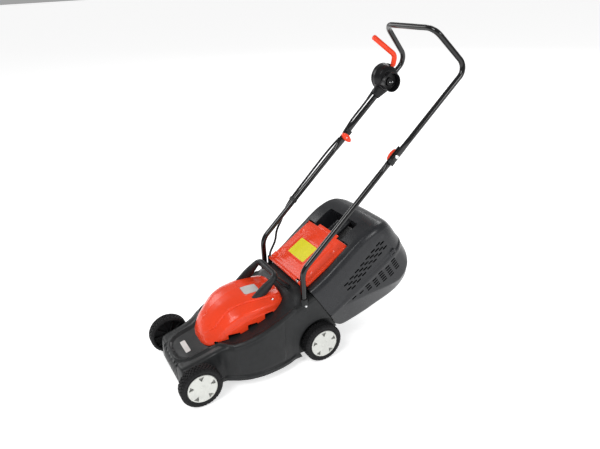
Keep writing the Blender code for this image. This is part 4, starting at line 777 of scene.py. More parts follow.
HOOD = np.array([
    (0.058, 0.030, 0.026, 0.140, 0.018, 0.146, 0.150), (0.064, 0.052, 0.046, 0.146, 0.034, 0.158, 0.166),
    (0.075, 0.070, 0.062, 0.150, 0.046, 0.168, 0.184), (0.095, 0.086, 0.078, 0.163, 0.060, 0.182, 0.207),
    (0.120, 0.097, 0.091, 0.193, 0.066, 0.208, 0.230), (0.150, 0.104, 0.099, 0.216, 0.067, 0.235, 0.248),
    (0.190, 0.108, 0.103, 0.230, 0.071, 0.2475, 0.261), (0.240, 0.108, 0.104, 0.234, 0.077, 0.250, 0.266),
    (0.290, 0.104, 0.100, 0.2355, 0.077, 0.2465, 0.262), (0.320, 0.096, 0.092, 0.235, 0.074, 0.244, 0.256),
    (0.338, 0.084, 0.080, 0.232, 0.066, 0.240, 0.251), (0.344, 0.074, 0.070, 0.228, 0.058, 0.235, 0.246),
])


def hood_form(name, inset, drop, step=0.0024, fine=True):
    ys = np.linspace(HOOD[0, 0] + inset, HOOD[-1, 0] - inset, int(0.286 / step))
    ys = np.concatenate((ys[0] + np.array([0.0, 0.0004, 0.0012, 0.0022]), ys[2:-2],
                         ys[-1] - np.array([0.0022, 0.0012, 0.0004, 0.0])))
    rows = curve_through(HOOD[:, 0], HOOD[:, 1:], ys)
    decks = deck_rows(ys)
    rings = []
    for y, (half, shelf, shelf_z, crease, crease_z, top), deck_row in zip(ys, rows, decks):
        edge = deck_row[3]
        low = edge - drop
        end = min(y - HOOD[0, 0] - inset, HOOD[-1, 0] - inset - y) / 0.004
        sink = 0.0 if inset else 0.003 * (1 - min(end, 1.0)) ** 2
        half, shelf, crease = half - sink, shelf - sink, crease - sink
        shelf_z, crease_z, top = shelf_z - sink, crease_z - sink, top - sink
        ring = [
            (0.0, low), (half - inset, low), (half - inset, edge + 0.006),
            (shelf + 0.002 - inset, shelf_z - 0.007 - inset * 0.5),
            (shelf - 0.005 - inset * 0.7, shelf_z - inset),
            (crease - inset * 0.5, crease_z - inset), (crease * 0.6, top - 0.22 * (top - crease_z) - inset),
            (0.0, top - inset),
        ]
        radii = (0, 0.001, 0.006, 0.006, 0.006, 0.004, 0.025, 0)
        counts = (2, 5, 20, 3, 12, 12, 18) if fine else (2, 2, 5, 1, 3, 3, 4)
        ring = both(rounded(ring, radii, counts, 4))
        rings.append(np.column_stack((ring[:, 0], np.full(len(ring), y), ring[:, 1])))
    return loft(name, rings)


def hood_relief(co, no):
    """The dome stands up from the shelf at a sharp crease; the panel on top is sunk."""
    x, y, z = co.T
    crease = np.interp(y, HOOD[:, 0], HOOD[:, 4])
    ends = smoothstep((y - 0.062) / 0.030) * smoothstep((0.342 - y) / 0.010)
    past = np.abs(x) - crease
    dome = 0.0032 * smoothstep((0.0010 - past) / 0.0022) * ends * (no[:, 2] > 0.05)
    groove = -0.0012 * smoothstep(1 - np.abs(past - 0.0022) / 0.0018) * ends * (no[:, 2] > 0.05)
    panel = rounded_rect(x, y - 0.275, 0.050, 0.058, 0.012)
    sunk = -0.0050 * smoothstep(-panel / 0.006) * (no[:, 2] > 0.4)
    dimple = 0.0
    for cx, cy, size in ((0.0, 0.094, 0.0055), (0.086, 0.322, 0.0045), (-0.086, 0.322, 0.0045)):
        d = np.hypot(x - cx, y - cy)
        dimple = dimple - 0.0022 * smoothstep((size - d) / 0.003) * (z > 0.15)
    foot = 0.0014 * smoothstep((np.interp(y, HOOD[:, 0], HOOD[:, 3]) - 0.026 - z) / 0.004) * (no[:, 2] < 0.6)
    return dome + groove + sunk + dimple + foot * ends * (z > 0.10)


def make_hood():
    hood = hood_form("hood_shell", 0.0, 0.012)
    displace(hood, hood_relief)
    tools = [hood_form("hollow", 0.0028, 0.030, 0.006, fine=False),
             deck_form("under", -0.0003, -0.045, 0.9 * WHEELBASE, 0.0, 0.004)]
    for start, end in ((0.130, 0.170), (0.197, 0.232), (0.260, 0.292), (0.087, 0.099)):
        floor = deck_rows(np.array([(start + end) / 2]))[0][3]
        tall = 0.011 if end - start > 0.02 else 0.006
        for _, s in SIDES:
            x = sorted((s * 0.070, s * 0.128))
            tools.append(block((x[0], start, floor - 0.02), (x[1], end, floor + tall), 0.0035))
    for _, s in SIDES:
        tools.append(rod((s * 0.088, 0.300, 0.2383), (s * 0.088, 0.300, 0.27), 0.0055, sides=40))
        tools.append(rod((s * 0.088, 0.300, 0.20), (s * 0.088, 0.300, 0.27), 0.0023, sides=24))
    boolean(hood, tools)
    plate = patch("hood_plate", hood, Vector((0.023, 0.2485, 0.26)), (0.0235, 0.0275), 0.004, 0.0010,
                  (0, 0, -1), (1, 0, 0), (0, 1, 0))
    finished(hood, "root", "red", ["motor_hood"])
    finished(plate, "root", "plate")
    bosses = [turned("boss", [(0.0023, 0.2255), (0.0065, 0.2255), (0.0065, 0.2382), (0.0023, 0.2382)],
                     (s * 0.088, 0.300, 0.0), (0, 0, 1), 40, corner=0.0003) for _, s in SIDES]
    finished(joined("hood_bosses", bosses), "root", "red")
    return hood


def make_badge(deck):
    badge = patch("deck_badge", deck, Vector((0.004, 0.010, 0.11)) + SHIFT, (0.034, 0.0085), 0.004, 0.0009,
                  (0, 0, -1), (1, 0, 0), (0, 1, 0))
    badge.data.transform(Matrix.Translation(-SHIFT))
    finished(badge, "root", "badge")


def make_carry_handle():
    """Two broad straps that rise from the hood to a grip bar, and two struts back to the deck."""
    def leg(s):
        return Vector((s * 0.068, 0.245, 0.240))

    def corner(s):
        return Vector((s * 0.068, 0.330, 0.309))

    path = spaced(rounded_path([leg(1), corner(1), corner(-1), leg(-1)], [0.020, 0.020], 14), 0.004)
    stations = []
    for p in path:
        low = float(smoothstep((0.312 - p.z) / 0.046))
        grip = 0.0004 * math.cos(p.x / 0.0045 * math.pi) if abs(p.x) < 0.045 else 0.0
        stations.append((p, 0.0098 - 0.0014 * low + grip, 0.0098 + 0.0095 * low + grip))
    handle = sweep("grab_handle", stations, 40)
    pieces = [handle]
    for _, s in SIDES:
        start = Vector((s * 0.068, 0.326, 0.303))
        end = Vector((s * 0.068, 0.377, 0.248))
        steps = [start.lerp(end, k / 12) for k in range(13)]
        pieces.append(sweep("strut", [(p, 0.0090 + 0.003 * (k / 12) ** 2, 0.0082 + 0.001 * k / 12)
                                      for k, p in enumerate(steps)], 36))
    tool = hood_form("hood_tool", -0.0003, 0.05, 0.005)
    under = deck_form("deck_tool", -0.0003, -0.045, 1.1 * WHEELBASE, 0.0, 0.005)
    base = pieces.pop(0)
    boolean(base, pieces, "UNION")
    boolean(base, [tool, under])
    finished(base, "root", "handle", ["carry_handle"])


# ---------------------------------------------------------------- wheels

def make_wheel(end, side, s):
    name = end + "_" + side
    y = 0.0 if end == "front" else WHEELBASE
    place = (s * (TRACK_HALF - WHEEL_WIDTH), y, WHEEL_RADIUS)
    width, tyre, seat, bore, hub = WHEEL_WIDTH, WHEEL_RADIUS, 0.713 * WHEEL_RADIUS, 0.0053, 0.012
    tread = [(tyre - 0.0002, width - 0.008 - 0.0010 * k) for k in range(29)]
    profile = [
        (bore, 0.030), (hub, 0.030), (hub, 0.020), (seat - 0.003, 0.020), (seat - 0.003, width - 0.008),
        (seat, width - 0.008), (seat, width - 0.0015), (seat + 0.0025, width - 0.0008),
        (tyre * 0.80, width - 0.0022),
        (tyre * 0.84, width - 0.0004), (tyre * 0.90, width - 0.0008), (tyre * 0.955, width - 0.0032),
        (tyre - 0.0010, width - 0.0062), *tread, (tyre * 0.955, 0.0030),
        (tyre * 0.88, 0.0), (tyre * 0.81, 0.002), (tyre * 0.81, 0.014),
        (hub, 0.014), (hub, 0.001), (bore, 0.001),
    ]
    pitch = 2 * math.pi / 36

    def lugs(angle, r, h):
        if r < tyre * 0.94:
            return 0.0
        band = int((h - 0.006) / 0.0070)
        inside = ((h - 0.006) / 0.0070) % 1.0
        phase = ((angle + (pitch / 2 if band % 2 else 0.0)) / pitch) % 1.0
        shoulder = h > width - 0.0085 or h < 0.0065
        gap = phase > 0.66 or (0.80 < inside and not shoulder)
        return -0.0024 if gap else 0.0

    body = "wheel_" + name
    rubber = turned("tyre_" + name, profile, place, (s, 0, 0), 264, corner=0.0005, wave=lugs, sharp=30)
    finished(rubber, body, "tyre", [body])

    cap_radius = seat - 0.0004
    profile = [
        (0.0, width - 0.0002), (0.010, width - 0.0003), (0.0115, width - 0.0012), (0.030, width - 0.0006),
        (cap_radius - 0.0035, width - 0.0005), (cap_radius - 0.0008, width - 0.0016),
        (cap_radius, width - 0.0035), (cap_radius, width - 0.0076), (cap_radius - 0.004, width - 0.0070),
        (cap_radius - 0.006, width - 0.0045), (0.0, width - 0.0050),
    ]
    cap = turned("cap_" + name, profile, place, (s, 0, 0), 120, corner=0.0006)
    tools = []
    for k in range(5):
        angle = math.radians(72 * k + 18)
        out = Vector((0, math.cos(angle), math.sin(angle)))
        aside = Vector((0, -math.sin(angle), math.cos(angle)))
        centre = Vector(place) + Vector((s * width, 0, 0))
        outline = [out * 0.0435 + aside * 0.0095, out * 0.0435 - aside * 0.0095, out * 0.0265]
        loop = []
        for a, b, c in zip(outline[-1:] + outline[:-1], outline, outline[1:] + outline[:1]):
            first = b + (a - b).normalized() * 0.0030
            last = b + (c - b).normalized() * 0.0030
            loop += [(1 - t) ** 2 * first + 2 * t * (1 - t) * b + t * t * last for t in (0, 0.33, 0.67, 1)]
        near = [tuple(centre + p + Vector((s * 0.01, 0, 0))) for p in loop]
        far = [tuple(centre + p - Vector((s * 0.010, 0, 0))) for p in loop]
        tools.append(loft("tri", [near, far]))
    boolean(cap, tools)
    finished(cap, body, "cap", ["hub_cap_" + name])
    # A grey disc behind the cap's triangle holes, coloured darker than the cap as painted shade of the
    # recesses
    dish = [(0.0, width - 0.0072), (0.030, width - 0.0066), (seat - 0.0050, width - 0.0062),
            (seat - 0.0050, width - 0.0074), (0.0, width - 0.0082)]
    dish = turned("dish_" + name, dish, place, (s, 0, 0), 96, corner=0.0003)
    finished(dish, body, "dish")
    spokes = []
    for k in range(10):
        angle = math.radians(36 * k)
        out = Vector((0, math.cos(angle), math.sin(angle)))
        a = Vector(place) + Vector((s * 0.010, 0, 0)) + out * 0.012
        b = Vector(place) + Vector((s * 0.010, 0, 0)) + out * (tyre * 0.80)
        turn = (b - a).to_track_quat("Z", "Y").to_matrix().to_4x4()
        rib = block((-0.0012, -0.0012, 0), (0.0012, 0.0012, (b - a).length), 0.0)
        rib.data.transform(Matrix.Translation(a) @ turn)
        stretch = Matrix.Diagonal((3.2, 1.0, 1.0, 1.0))
        rib.data.transform(Matrix.Translation(a) @ stretch @ Matrix.Translation(-a))
        spokes.append(rib)
    web = joined("spokes_" + name, spokes)
    finished(web, body, "tyre")


# ---------------------------------------------------------------- flap

def make_flap():
    half, top, length, thick = 0.129, 0.006, 0.200, 0.0025
    ends = (0.004, 0.012, length - 0.012, length)
    alongs = np.concatenate(([0.004, 0.0045, 0.0055, 0.0075], np.linspace(0.010, length - 0.010, 64),
                             [length - 0.006, length - 0.003, length - 0.001, length]))
    rings = []
    for u in alongs:
        width = np.interp(u, ends, (half - 0.006, half, half, half - 0.004))
        lift = np.interp(u, ends, (-0.002, 0.0, 0.0, -0.003))
        rim = min(u - 0.004, length - u)
        lift -= 0.0012 * (1 - min(rim / 0.004, 1.0)) ** 2
        outer = [(0.0, top + lift), (width - 0.034, top + lift), (width - 0.008, top + lift - 0.0012),
                 (width - 0.001, top + lift - 0.005), (width, -0.0105)]
        inner = [(width - thick, -0.0105), (width - thick, top + lift - 0.010),
                 (width - thick - 0.005, top + lift - thick), (0.0, top + lift - thick - 0.0002)]
        a = rounded(outer, (0, 0.006, 0.006, 0.004, 0), (34, 10, 4, 6), 4)
        b = rounded(inner, (0, 0.002, 0.002, 0), (2, 3, 30), 3)
        mirror = np.array([-1.0, 1.0])
        whole = np.concatenate((a, b, b[:-1][::-1] * mirror, a[1:][::-1] * mirror))
        rings.append(rear_array(whole[:, 0], np.full(len(whole), u), whole[:, 1]))
    flap = loft("flap_shell", rings)

    def relief(co, no):
        x, u, _ = to_rear(co)
        facing = (no @ np.array(ABOVE)) > 0.6
        centre = rounded_rect(x, u - 0.097, 0.086, 0.076, 0.010)
        raised = 0.0016 * smoothstep(-centre / 0.0035)
        inner = rounded_rect(x + 0.018, u - 0.095, 0.062, 0.043, 0.005)
        raised -= 0.0010 * smoothstep(-inner / 0.002)
        for cx, cu in ((0.104, 0.150), (-0.104, 0.150), (0.104, 0.045), (-0.104, 0.045)):
            d = np.hypot(x - cx, u - cu)
            raised -= 0.0016 * smoothstep((0.0085 - d) / 0.003)
        return raised * facing

    displace(flap, relief)
    reach = half - 0.002
    barrel = rod((-reach, HINGE.y, HINGE.z), (reach, HINGE.y, HINGE.z), 0.0062, sides=48, bevel=0.0008)
    tongue = rear_block((-0.062, 0.062), (length - 0.0033, length + 0.012), (-0.001, 0.0050), 0.0022)
    reach = half - 0.0015
    rear_edge = rear_block((-reach, reach), (length - 0.0040, length - 0.0015), (-0.0105, 0.003))
    boolean(flap, [barrel, tongue, rear_edge], "UNION")
    boolean(flap, [rod((-half - 0.01, HINGE.y, HINGE.z), (half + 0.01, HINGE.y, HINGE.z), 0.0023, sides=24),
                   rod((0.074, HINGE.y, HINGE.z), (0.096, HINGE.y, HINGE.z), 0.0084, sides=40)])
    lobes = [rear_block((x - 0.012, x + 0.012), (0.006, 0.030), (0.0045, 0.0095), 0.0022)
             for x in (0.1105, -0.1105)]
    flap = joined("flap_shell", [flap] + lobes)
    finished(flap, "discharge_flap", "red", ["discharge_flap"])
    centre = HINGE + 0.095 * ALONG + Vector((-0.018, 0, 0)) + SHIFT
    label = patch("flap_label", flap, centre, (0.0545, 0.0350), 0.004, 0.0005, -ABOVE, X_AXIS, ALONG, 30)
    label.data.transform(Matrix.Translation(-SHIFT))
    finished(label, "discharge_flap", "yellow")


# ---------------------------------------------------------------- grass box

def box_table():
    w = BOX_HALF
    return np.array([
        (0.0027, w - 0.005, -0.013, -0.219), (0.015, w - 0.003, -0.013, -0.237),
        (0.060, w - 0.001, -0.012, -0.254), (0.150, w + 0.001, -0.004, -0.276),
        (0.255, w + 0.001, 0.004, -0.295), (0.300, w - 0.001, -0.001, -0.288),
        (0.332, w - 0.008, -0.011, -0.271), (0.356, w - 0.024, -0.030, -0.244),
        (0.372, w - 0.050, -0.055, -0.212), (0.380, w - 0.085, -0.085, -0.180),
    ])


def box_form(name, inset, mouth=None, fine=True):
    table = box_table()
    body, bend, end = (84, 22, 16) if fine else (24, 8, 6)
    us = np.concatenate((np.linspace(0.0027, 0.300, body), np.linspace(0.304, 0.356, bend),
                         0.380 - 0.024 * (1 - np.linspace(0, 1, end)[1:]) ** 1.6))
    rows = curve_through(table[:, 0], table[:, 1:], us)
    if mouth is not None:
        us = np.concatenate(([mouth], us))
        rows = np.concatenate((rows[:1], rows))
    rings = []
    for u, (half, top, bottom) in zip(us, rows):
        height = top - bottom
        ledge = bottom + height * max(0.17, 0.52 - 1.25 * max(u, 0.0027))
        ledge = min(ledge, SPLIT_LEVEL - 0.007)
        back = inset if (inset and u > 0.3) else 0.0
        ring = [
            (0.0, bottom + inset), (half - 0.042 - inset, bottom + inset),
            (half - 0.026 - inset, bottom + 0.010 + inset * 0.5), (half - inset, ledge),
            (half + 0.001 - inset, min(SPLIT_LEVEL, top - height * 0.45)),
            (half - 0.003 - inset, top - height * 0.20),
            (half - 0.008 - inset, top - 0.016), (half - 0.017 - inset, top - 0.003 - inset),
            (half - 0.032 - inset, top - inset), (0.0, top + 0.003 - inset),
        ]
        radii = (0, 0.010, 0.008, 0.005, 0.01, 0.02, 0.008, 0.006, 0.010, 0)
        counts = (10, 3, 12, 10, 14, 8, 3, 4, 22) if fine else (3, 1, 4, 3, 4, 3, 1, 1, 5)
        ring = both(rounded(ring, radii, counts, 4 if fine else 2))
        rings.append(rear_array(ring[:, 0], np.full(len(ring), u - back), ring[:, 1]))
    return loft(name, rings)


def box_relief(co, no):
    """The lip along the split and the sunk side panels."""
    _, u, w = to_rear(co)
    side = smoothstep((np.abs(no[:, 0]) - 0.6) / 0.2)
    out = np.where(u > 0.004, 1.0, 0.0)
    lip = 0.0022 * smoothstep((0.0075 - np.abs(w - SPLIT_LEVEL)) / 0.0022)
    back = smoothstep((no @ np.array(ALONG)) / 0.5)
    top_line = np.interp(u, (0.05, 0.10, 0.30, 0.34), (-0.070, -0.072, -0.044, -0.050))
    low_line = np.interp(u, (0.05, 0.10, 0.30, 0.34), (-0.125, -0.124, -0.118, -0.118))
    upper = smoothstep((u - 0.080) / 0.003) * smoothstep((0.322 - u) / 0.003)
    upper = upper * smoothstep((top_line - w) / 0.003) * smoothstep((w - low_line) / 0.003)
    return (lip * np.maximum(side, back) - 0.0014 * upper * side) * out


def side_slots():
    """Cutters for the two fields of air slots on each side of the box."""
    table = box_table()
    tools = []
    for _, s in SIDES:
        x = sorted((s * 0.120, s * 0.19))
        places = []
        for row in range(4):
            for column in range(7):
                u = 0.1014 + 0.0285 * column + (0.01425 if row % 2 else 0.0)
                places.append((u, -0.085 + 0.17 * (u - 0.1014) - 0.0112 * row))
        places = [(u, w) for u, w in places if w > -0.1262 and u < 0.296]
        for column in range(7):
            for row in range(6):
                u = 0.096 + 0.0315 * column
                w = -0.1515 - 0.0102 * row - (0.0051 if column % 2 else 0.0)
                bottom = np.interp(u, table[:, 0], table[:, 3])
                height = np.interp(u, table[:, 0], table[:, 2]) - bottom
                ledge = bottom + height * max(0.17, 0.52 - 1.25 * u)
                if w - 0.009 > ledge and row < 5:
                    places.append((u, w))
        for u, w in places:
            tools.append(rear_block(x, (u, u + 0.0195), (w - 0.0029, w + 0.0029), 0.0018))
    return tools


def make_grass_box():
    bed = -0.0125
    slots = joined("slots", side_slots())
    for top, name, node in ((True, "box_lid", "grass_box_top"), (False, "box_tub", "grass_box_bottom")):
        shell = box_form(name, 0.0)
        displace(shell, box_relief)
        hollow = box_form("hollow", 0.0028, mouth=-0.03, fine=False)
        if top:
            boolean(hollow, [rear_block((-0.1345, 0.1345), (-0.05, 0.2085), (bed - 0.0025, 0.05)),
                             rear_block((-0.0905, 0.0905), (0.1325, 0.2885), (-0.0605, 0.05))])
        tools = [hollow]
        if top:
            tools += [rear_block((-0.132, 0.132), (-0.05, 0.206), (bed, 0.05)),
                      rear_block((-0.088, 0.088), (0.135, 0.286), (-0.058, 0.05), 0.006)]
        cutter = slots.copy()
        cutter.data = slots.data.copy()
        bpy.context.scene.collection.objects.link(cutter)
        tools.append(cutter)
        limit = (SPLIT_LEVEL + 0.0003, 0.2) if top else (-0.5, SPLIT_LEVEL)
        boolean(shell, tools)
        boolean(shell, [rear_block((-0.4, 0.4), (-0.1, 0.6), limit)], "INTERSECT")
        extras = [shell]
        for _, s in SIDES:
            if top:
                x = sorted((s * 0.166, s * 0.1755))
                extras.append(rear_block(x, (0.296, 0.322), (-0.134, -0.116), 0.003))
                x = sorted((s * 0.1715, s * 0.1775))
                extras.append(rear_block(x, (0.301, 0.317), (-0.1335, -0.1300), 0.001))
        shell = joined(name, extras)
        finished(shell, "grass_box", "box", [node])
    bpy.data.objects.remove(slots)
    us = np.concatenate(([0.1353, 0.1360, 0.1375], np.linspace(0.141, 0.280, 30), [0.2835, 0.285, 0.2857]))
    rings = []
    for u in us:
        depth = 0.009 - 0.0015 * math.sin(math.pi * (u - 0.135) / 0.151)
        ring = []
        for k in range(40):
            a = 2 * math.pi * k / 40
            x = 0.022 * math.copysign(abs(math.cos(a)) ** 0.6, math.cos(a))
            w = -0.0225 + depth * math.copysign(abs(math.sin(a)) ** 0.75, math.sin(a))
            if w > -0.0225 and abs(x) < 0.021:
                w += 0.00025 * math.cos(u / 0.006 * 2 * math.pi)
            ring.append((x, u, min(w, -0.0135)))
        ring = np.array(ring)
        rings.append(rear_array(ring[:, 0], ring[:, 1], ring[:, 2]))
    grip = loft("box_grip", rings)
    finished(grip, "grass_box", "box", ["grass_box_grip"])


# ---------------------------------------------------------------- handle tubes

def flat_share(distance, length=0.105):
    share = min(max((length - distance) / (length * 0.45), 0.0), 1.0)
    return share * share * (3 - 2 * share)


def station(point, share):
    return (point, TUBE_RADIUS + (FLAT_HALF - TUBE_RADIUS) * share,
            TUBE_RADIUS + (FLAT_HEIGHT - TUBE_RADIUS) * share)


def make_tubes():
    for side, s in SIDES:
        shift = Vector((s * LOWER_X, 0, 0))
        foot = Vector((0, SOCKET_Y, SOCKET_TOP - 0.0447))
        top = BEND + (0.4825 + 0.030) * UP_TUBE
        path = spaced(rounded_path([foot, BEND, top], [0.060], 20), 0.006)
        stations = [station(p + shift, flat_share((top - p).length)) for p in path]
        tube = sweep("tube_lower_" + side, stations, 40)
        finished(tube, "root", "tube", ["lower_tube_" + side])
    right = Vector((UPPER_X, 0, 0))
    corner = FOLD + 0.377 * UP_TUBE
    rise = Vector((0.0, -0.117, 0.131))
    crest = corner + rise
    low = FOLD - 0.030 * UP_TUBE
    inset_x = Vector((TRACK_HALF - 0.064, 0, 0))
    half_path = rounded_path([low + right, corner + right, crest + inset_x, crest], [0.040, 0.040], 18)[:-1]
    run = spaced(half_path, 0.006)
    run += [Vector((0, crest.y, crest.z))]
    run = spaced(run, 0.008)
    run = run[:-1] + [Vector((-p.x, p.y, p.z)) for p in reversed(run)]
    stations = []
    for p in run:
        distance = (p - low).dot(UP_TUBE)
        stations.append(station(p, flat_share(distance) if p.z < corner.z - 0.05 else 0.0))
    bow = sweep("tube_upper", stations, 40)
    finished(bow, "upper_handle", "tube", ["upper_handle"])
    for side, s in SIDES:
        for label, x, start, end, body in (("lower", LOWER_X, 0.018, 0.032, "root"),
                                           ("upper", UPPER_X, -0.032, -0.018, "upper_handle")):
            a = FOLD + start * UP_TUBE + Vector((s * x, 0, 0))
            b = FOLD + end * UP_TUBE + Vector((s * x, 0, 0))
            out = s * (-0.0004 if label == "lower" else 0.0004)
            points = spaced([a, b], 0.002)
            stations = [(p + Vector((out, 0, 0)), FLAT_HALF + 0.0003, FLAT_HEIGHT + 0.0006) for p in points]
            collar = sweep("tube_end_%s_%s" % (label, side), stations, 40)
            finished(collar, body, "handle")


KNOB_EDGE = (
    (0.0, 0.0030), (0.0003, 0.0018), (0.0010, 0.0008), (0.0022, 0.0), (0.0060, 0.0), (0.0062, 0.0006),
    (0.0078, 0.0006), (0.0080, 0.0), (0.0118, 0.0), (0.0130, 0.0008), (0.0137, 0.0018), (0.0140, 0.0032),
)


def make_fold_parts():
    for side, s in SIDES:
        place = Vector((0.0, FOLD.y, FOLD.z))
        long_way = UP_TUBE if side == "left" else OFF_TUBE
        short_way = OFF_TUBE if side == "left" else -UP_TUBE
        head = UPPER_X + FLAT_HALF + 0.0003
        inside = LOWER_X - FLAT_HALF - 0.0003
        profile = [(0.0, head + 0.0035), (0.0035, head + 0.0034), (0.0058, head + 0.0024),
                   (0.0070, head + 0.0008), (0.0072, head), (0.0030, head),
                   (0.0030, inside - 0.011), (0.0, inside - 0.011)]
        bolt = turned("fold_bolt_" + side, profile, place, (s, 0, 0), 64, corner=0.0005)
        finished(bolt, "upper_handle", "chrome", ["handle_bolt_" + side])
        rings = []
        thick = 0.014
        for depth, shrink in KNOB_EDGE:
            ring = []
            for k in range(72):
                a = 2 * math.pi * k / 72
                ripple = 0.00035 * math.cos(18 * a) if shrink < 0.001 else 0.0
                c = (0.023 - shrink + ripple) * math.cos(a)
                d = (0.011 - shrink + ripple) * math.sin(a)
                x = s * (inside - depth)
                ring.append(tuple(Vector((x, 0, 0)) + place + long_way * c + short_way * d))
            rings.append(ring)
        knob = loft("wing_knob_" + side, rings)
        far = (s * (inside - thick - 0.01), FOLD.y, FOLD.z)
        boolean(knob, [rod(far, (s * (inside + 0.01), FOLD.y, FOLD.z), 0.0033, sides=32),
                       rod(far, (s * (inside - 0.0125), FOLD.y, FOLD.z), 0.0060, sides=48)])
        finished(knob, "knob_" + side, "red", ["knob_" + side])


# ---------------------------------------------------------------- switch box and lever

def switch_bore():
    """The handle tube's way through the switch box."""
    shift = Vector((SPLIT_X, 0, 0))
    start = FOLD + 0.145 * UP_TUBE + shift
    end = FOLD + 0.365 * UP_TUBE + shift
    return rod(start, end, TUBE_RADIUS + 0.0003, sides=64)


def make_switch_box():
    r, w = 0.050, 0.0025
    place = (SPLIT_X, SWITCH.y, SWITCH.z)
    profile = [
        (0.0, 0.0400), (r * 0.58, 0.0400), (r * 0.66, 0.0375), (r * 0.84, 0.0310),
        (r * 0.95, 0.0190), (r, 0.0110),
        (r, 0.0040), (r - 0.0008, 0.0034), (r - 0.0008, 0.00015), (r - w, 0.00015), (r - w, 0.0115),
        (r * 0.84 - w * 0.8, 0.0288), (r * 0.60 - w * 0.6, 0.0372), (0.0, 0.0372),
    ]
    inner = turned("switch_shell_inner", profile, place, (1, 0, 0), 96, corner=0.0012)
    mouth = SPLIT_X + 0.066
    slot = 0.0107
    window = block((LEVER_X - slot, PIVOT.y + 0.004, PIVOT.z + 0.012),
                   (LEVER_X + slot, PIVOT.y + 0.056, PIVOT.z + 0.060))
    boolean(inner, [switch_bore(), window])
    base = SPLIT_X + 0.031
    profile = [(0.0, base), (0.0305, base), (0.0330, mouth - 0.0065), (0.0350, mouth - 0.0045),
               (0.0350, mouth), (0.0318, mouth), (0.0305, mouth - 0.003), (0.0280, SPLIT_X + 0.0425),
               (0.0, SPLIT_X + 0.0420)]
    shroud = turned("shroud", profile, (0, SHROUD.y, SHROUD.z), (1, 0, 0), 96, corner=0.0009)
    boss = rod((SPLIT_X + 0.0415, SHROUD.y, SHROUD.z), (SPLIT_X + 0.0500, SHROUD.y, SHROUD.z), 0.0150, 0.0140,
               sides=56, bevel=0.0008)
    holes = []
    for shift in (-0.006, 0.006):
        holes.append(rod((SPLIT_X + 0.030, SHROUD.y + shift, SHROUD.z), (mouth, SHROUD.y + shift, SHROUD.z),
                         0.0027, sides=24))
    boolean(boss, holes)
    skirt_rings = []
    low = FOLD + (0.265 - 0.075) * UP_TUBE + 0.006 * OFF_TUBE
    high = FOLD + (0.265 - 0.030) * UP_TUBE + 0.012 * OFF_TUBE
    for t in np.linspace(0, 1, 14):
        c = low.lerp(high, t) + Vector((SPLIT_X + 0.001, 0, 0))
        round_off = 0.0022 * (1 - min(t / 0.08, 1)) ** 2
        hx = 0.0135 + 0.0085 * t - round_off
        hn = 0.0150 + 0.0160 * t - round_off
        ring = []
        for k in range(44):
            a = 2 * math.pi * k / 44
            x = hx * math.copysign(abs(math.cos(a)) ** 0.55, math.cos(a))
            n = hn * math.copysign(abs(math.sin(a)) ** 0.55, math.sin(a))
            ring.append(tuple(c + Vector((max(x, -0.001), 0, 0)) + OFF_TUBE * n))
        skirt_rings.append(ring)
    skirt = loft("skirt", skirt_rings)
    core = rod((SPLIT_X - 0.01, SWITCH.y, SWITCH.z), (SPLIT_X + 0.03, SWITCH.y, SWITCH.z), r - 0.003,
               sides=64)
    boolean(skirt, [switch_bore(), core])
    ribs = []
    for angle in (200, 222, 338):
        a = math.radians(angle)
        out = Vector((0, math.cos(a), math.sin(a)))
        start = Vector((SPLIT_X + 0.006, SWITCH.y, SWITCH.z)) + out * (r - 0.0010)
        end = Vector((SPLIT_X + 0.016, SWITCH.y, SWITCH.z)) + out * (r - 0.0018)
        ribs.append(rod(start, end, 0.0032, 0.0026, 24, bevel=0.0006))
    inner = joined("switch_shell_inner", [inner, shroud, boss, skirt] + ribs)
    finished(inner, "upper_handle", "switch", ["switch_box_inner"])

    bore = 0.0088
    profile = [
        (bore, 0.0310), (0.0100, 0.0314), (0.020, 0.0310), (0.024, 0.0262),
        (r * 0.84, 0.020), (r * 0.95, 0.0135), (r, 0.0090), (r, 0.0040),
        (r - 0.0008, 0.0034), (r - 0.0008, 0.00015), (r - w, 0.00015), (r - w, 0.0095),
        (r * 0.84 - w * 0.6, 0.0176), (0.0228, 0.0235), (0.0185, 0.0285), (bore, 0.0285),
    ]
    outer = turned("switch_shell_outer", profile, place, (-1, 0, 0), 96, corner=0.0010)
    boolean(outer, [switch_bore()])
    finished(outer, "upper_handle", "switch", ["switch_box_outer"])
    profile = [(0.0, 0.0302), (0.0060, 0.0302), (0.0083, 0.0292), (0.0085, 0.0265), (0.0100, 0.0265),
               (0.0100, 0.0235), (0.0, 0.0235)]
    button = turned("button", profile, place, (-1, 0, 0), 64, corner=0.0006)
    finished(button, "lock_button", "red", ["lock_button"])
    for label, shift in (("front", -0.006), ("rear", 0.006)):
        a = Vector((SPLIT_X + 0.030, SHROUD.y + shift, SHROUD.z))
        b = Vector((SPLIT_X + 0.0575, SHROUD.y + shift, SHROUD.z))
        pin = rod(a, b, 0.0024, sides=32, bevel=0.0008, name="contact_" + label)
        finished(pin, "upper_handle", "chrome", ["inlet_pin_" + label])


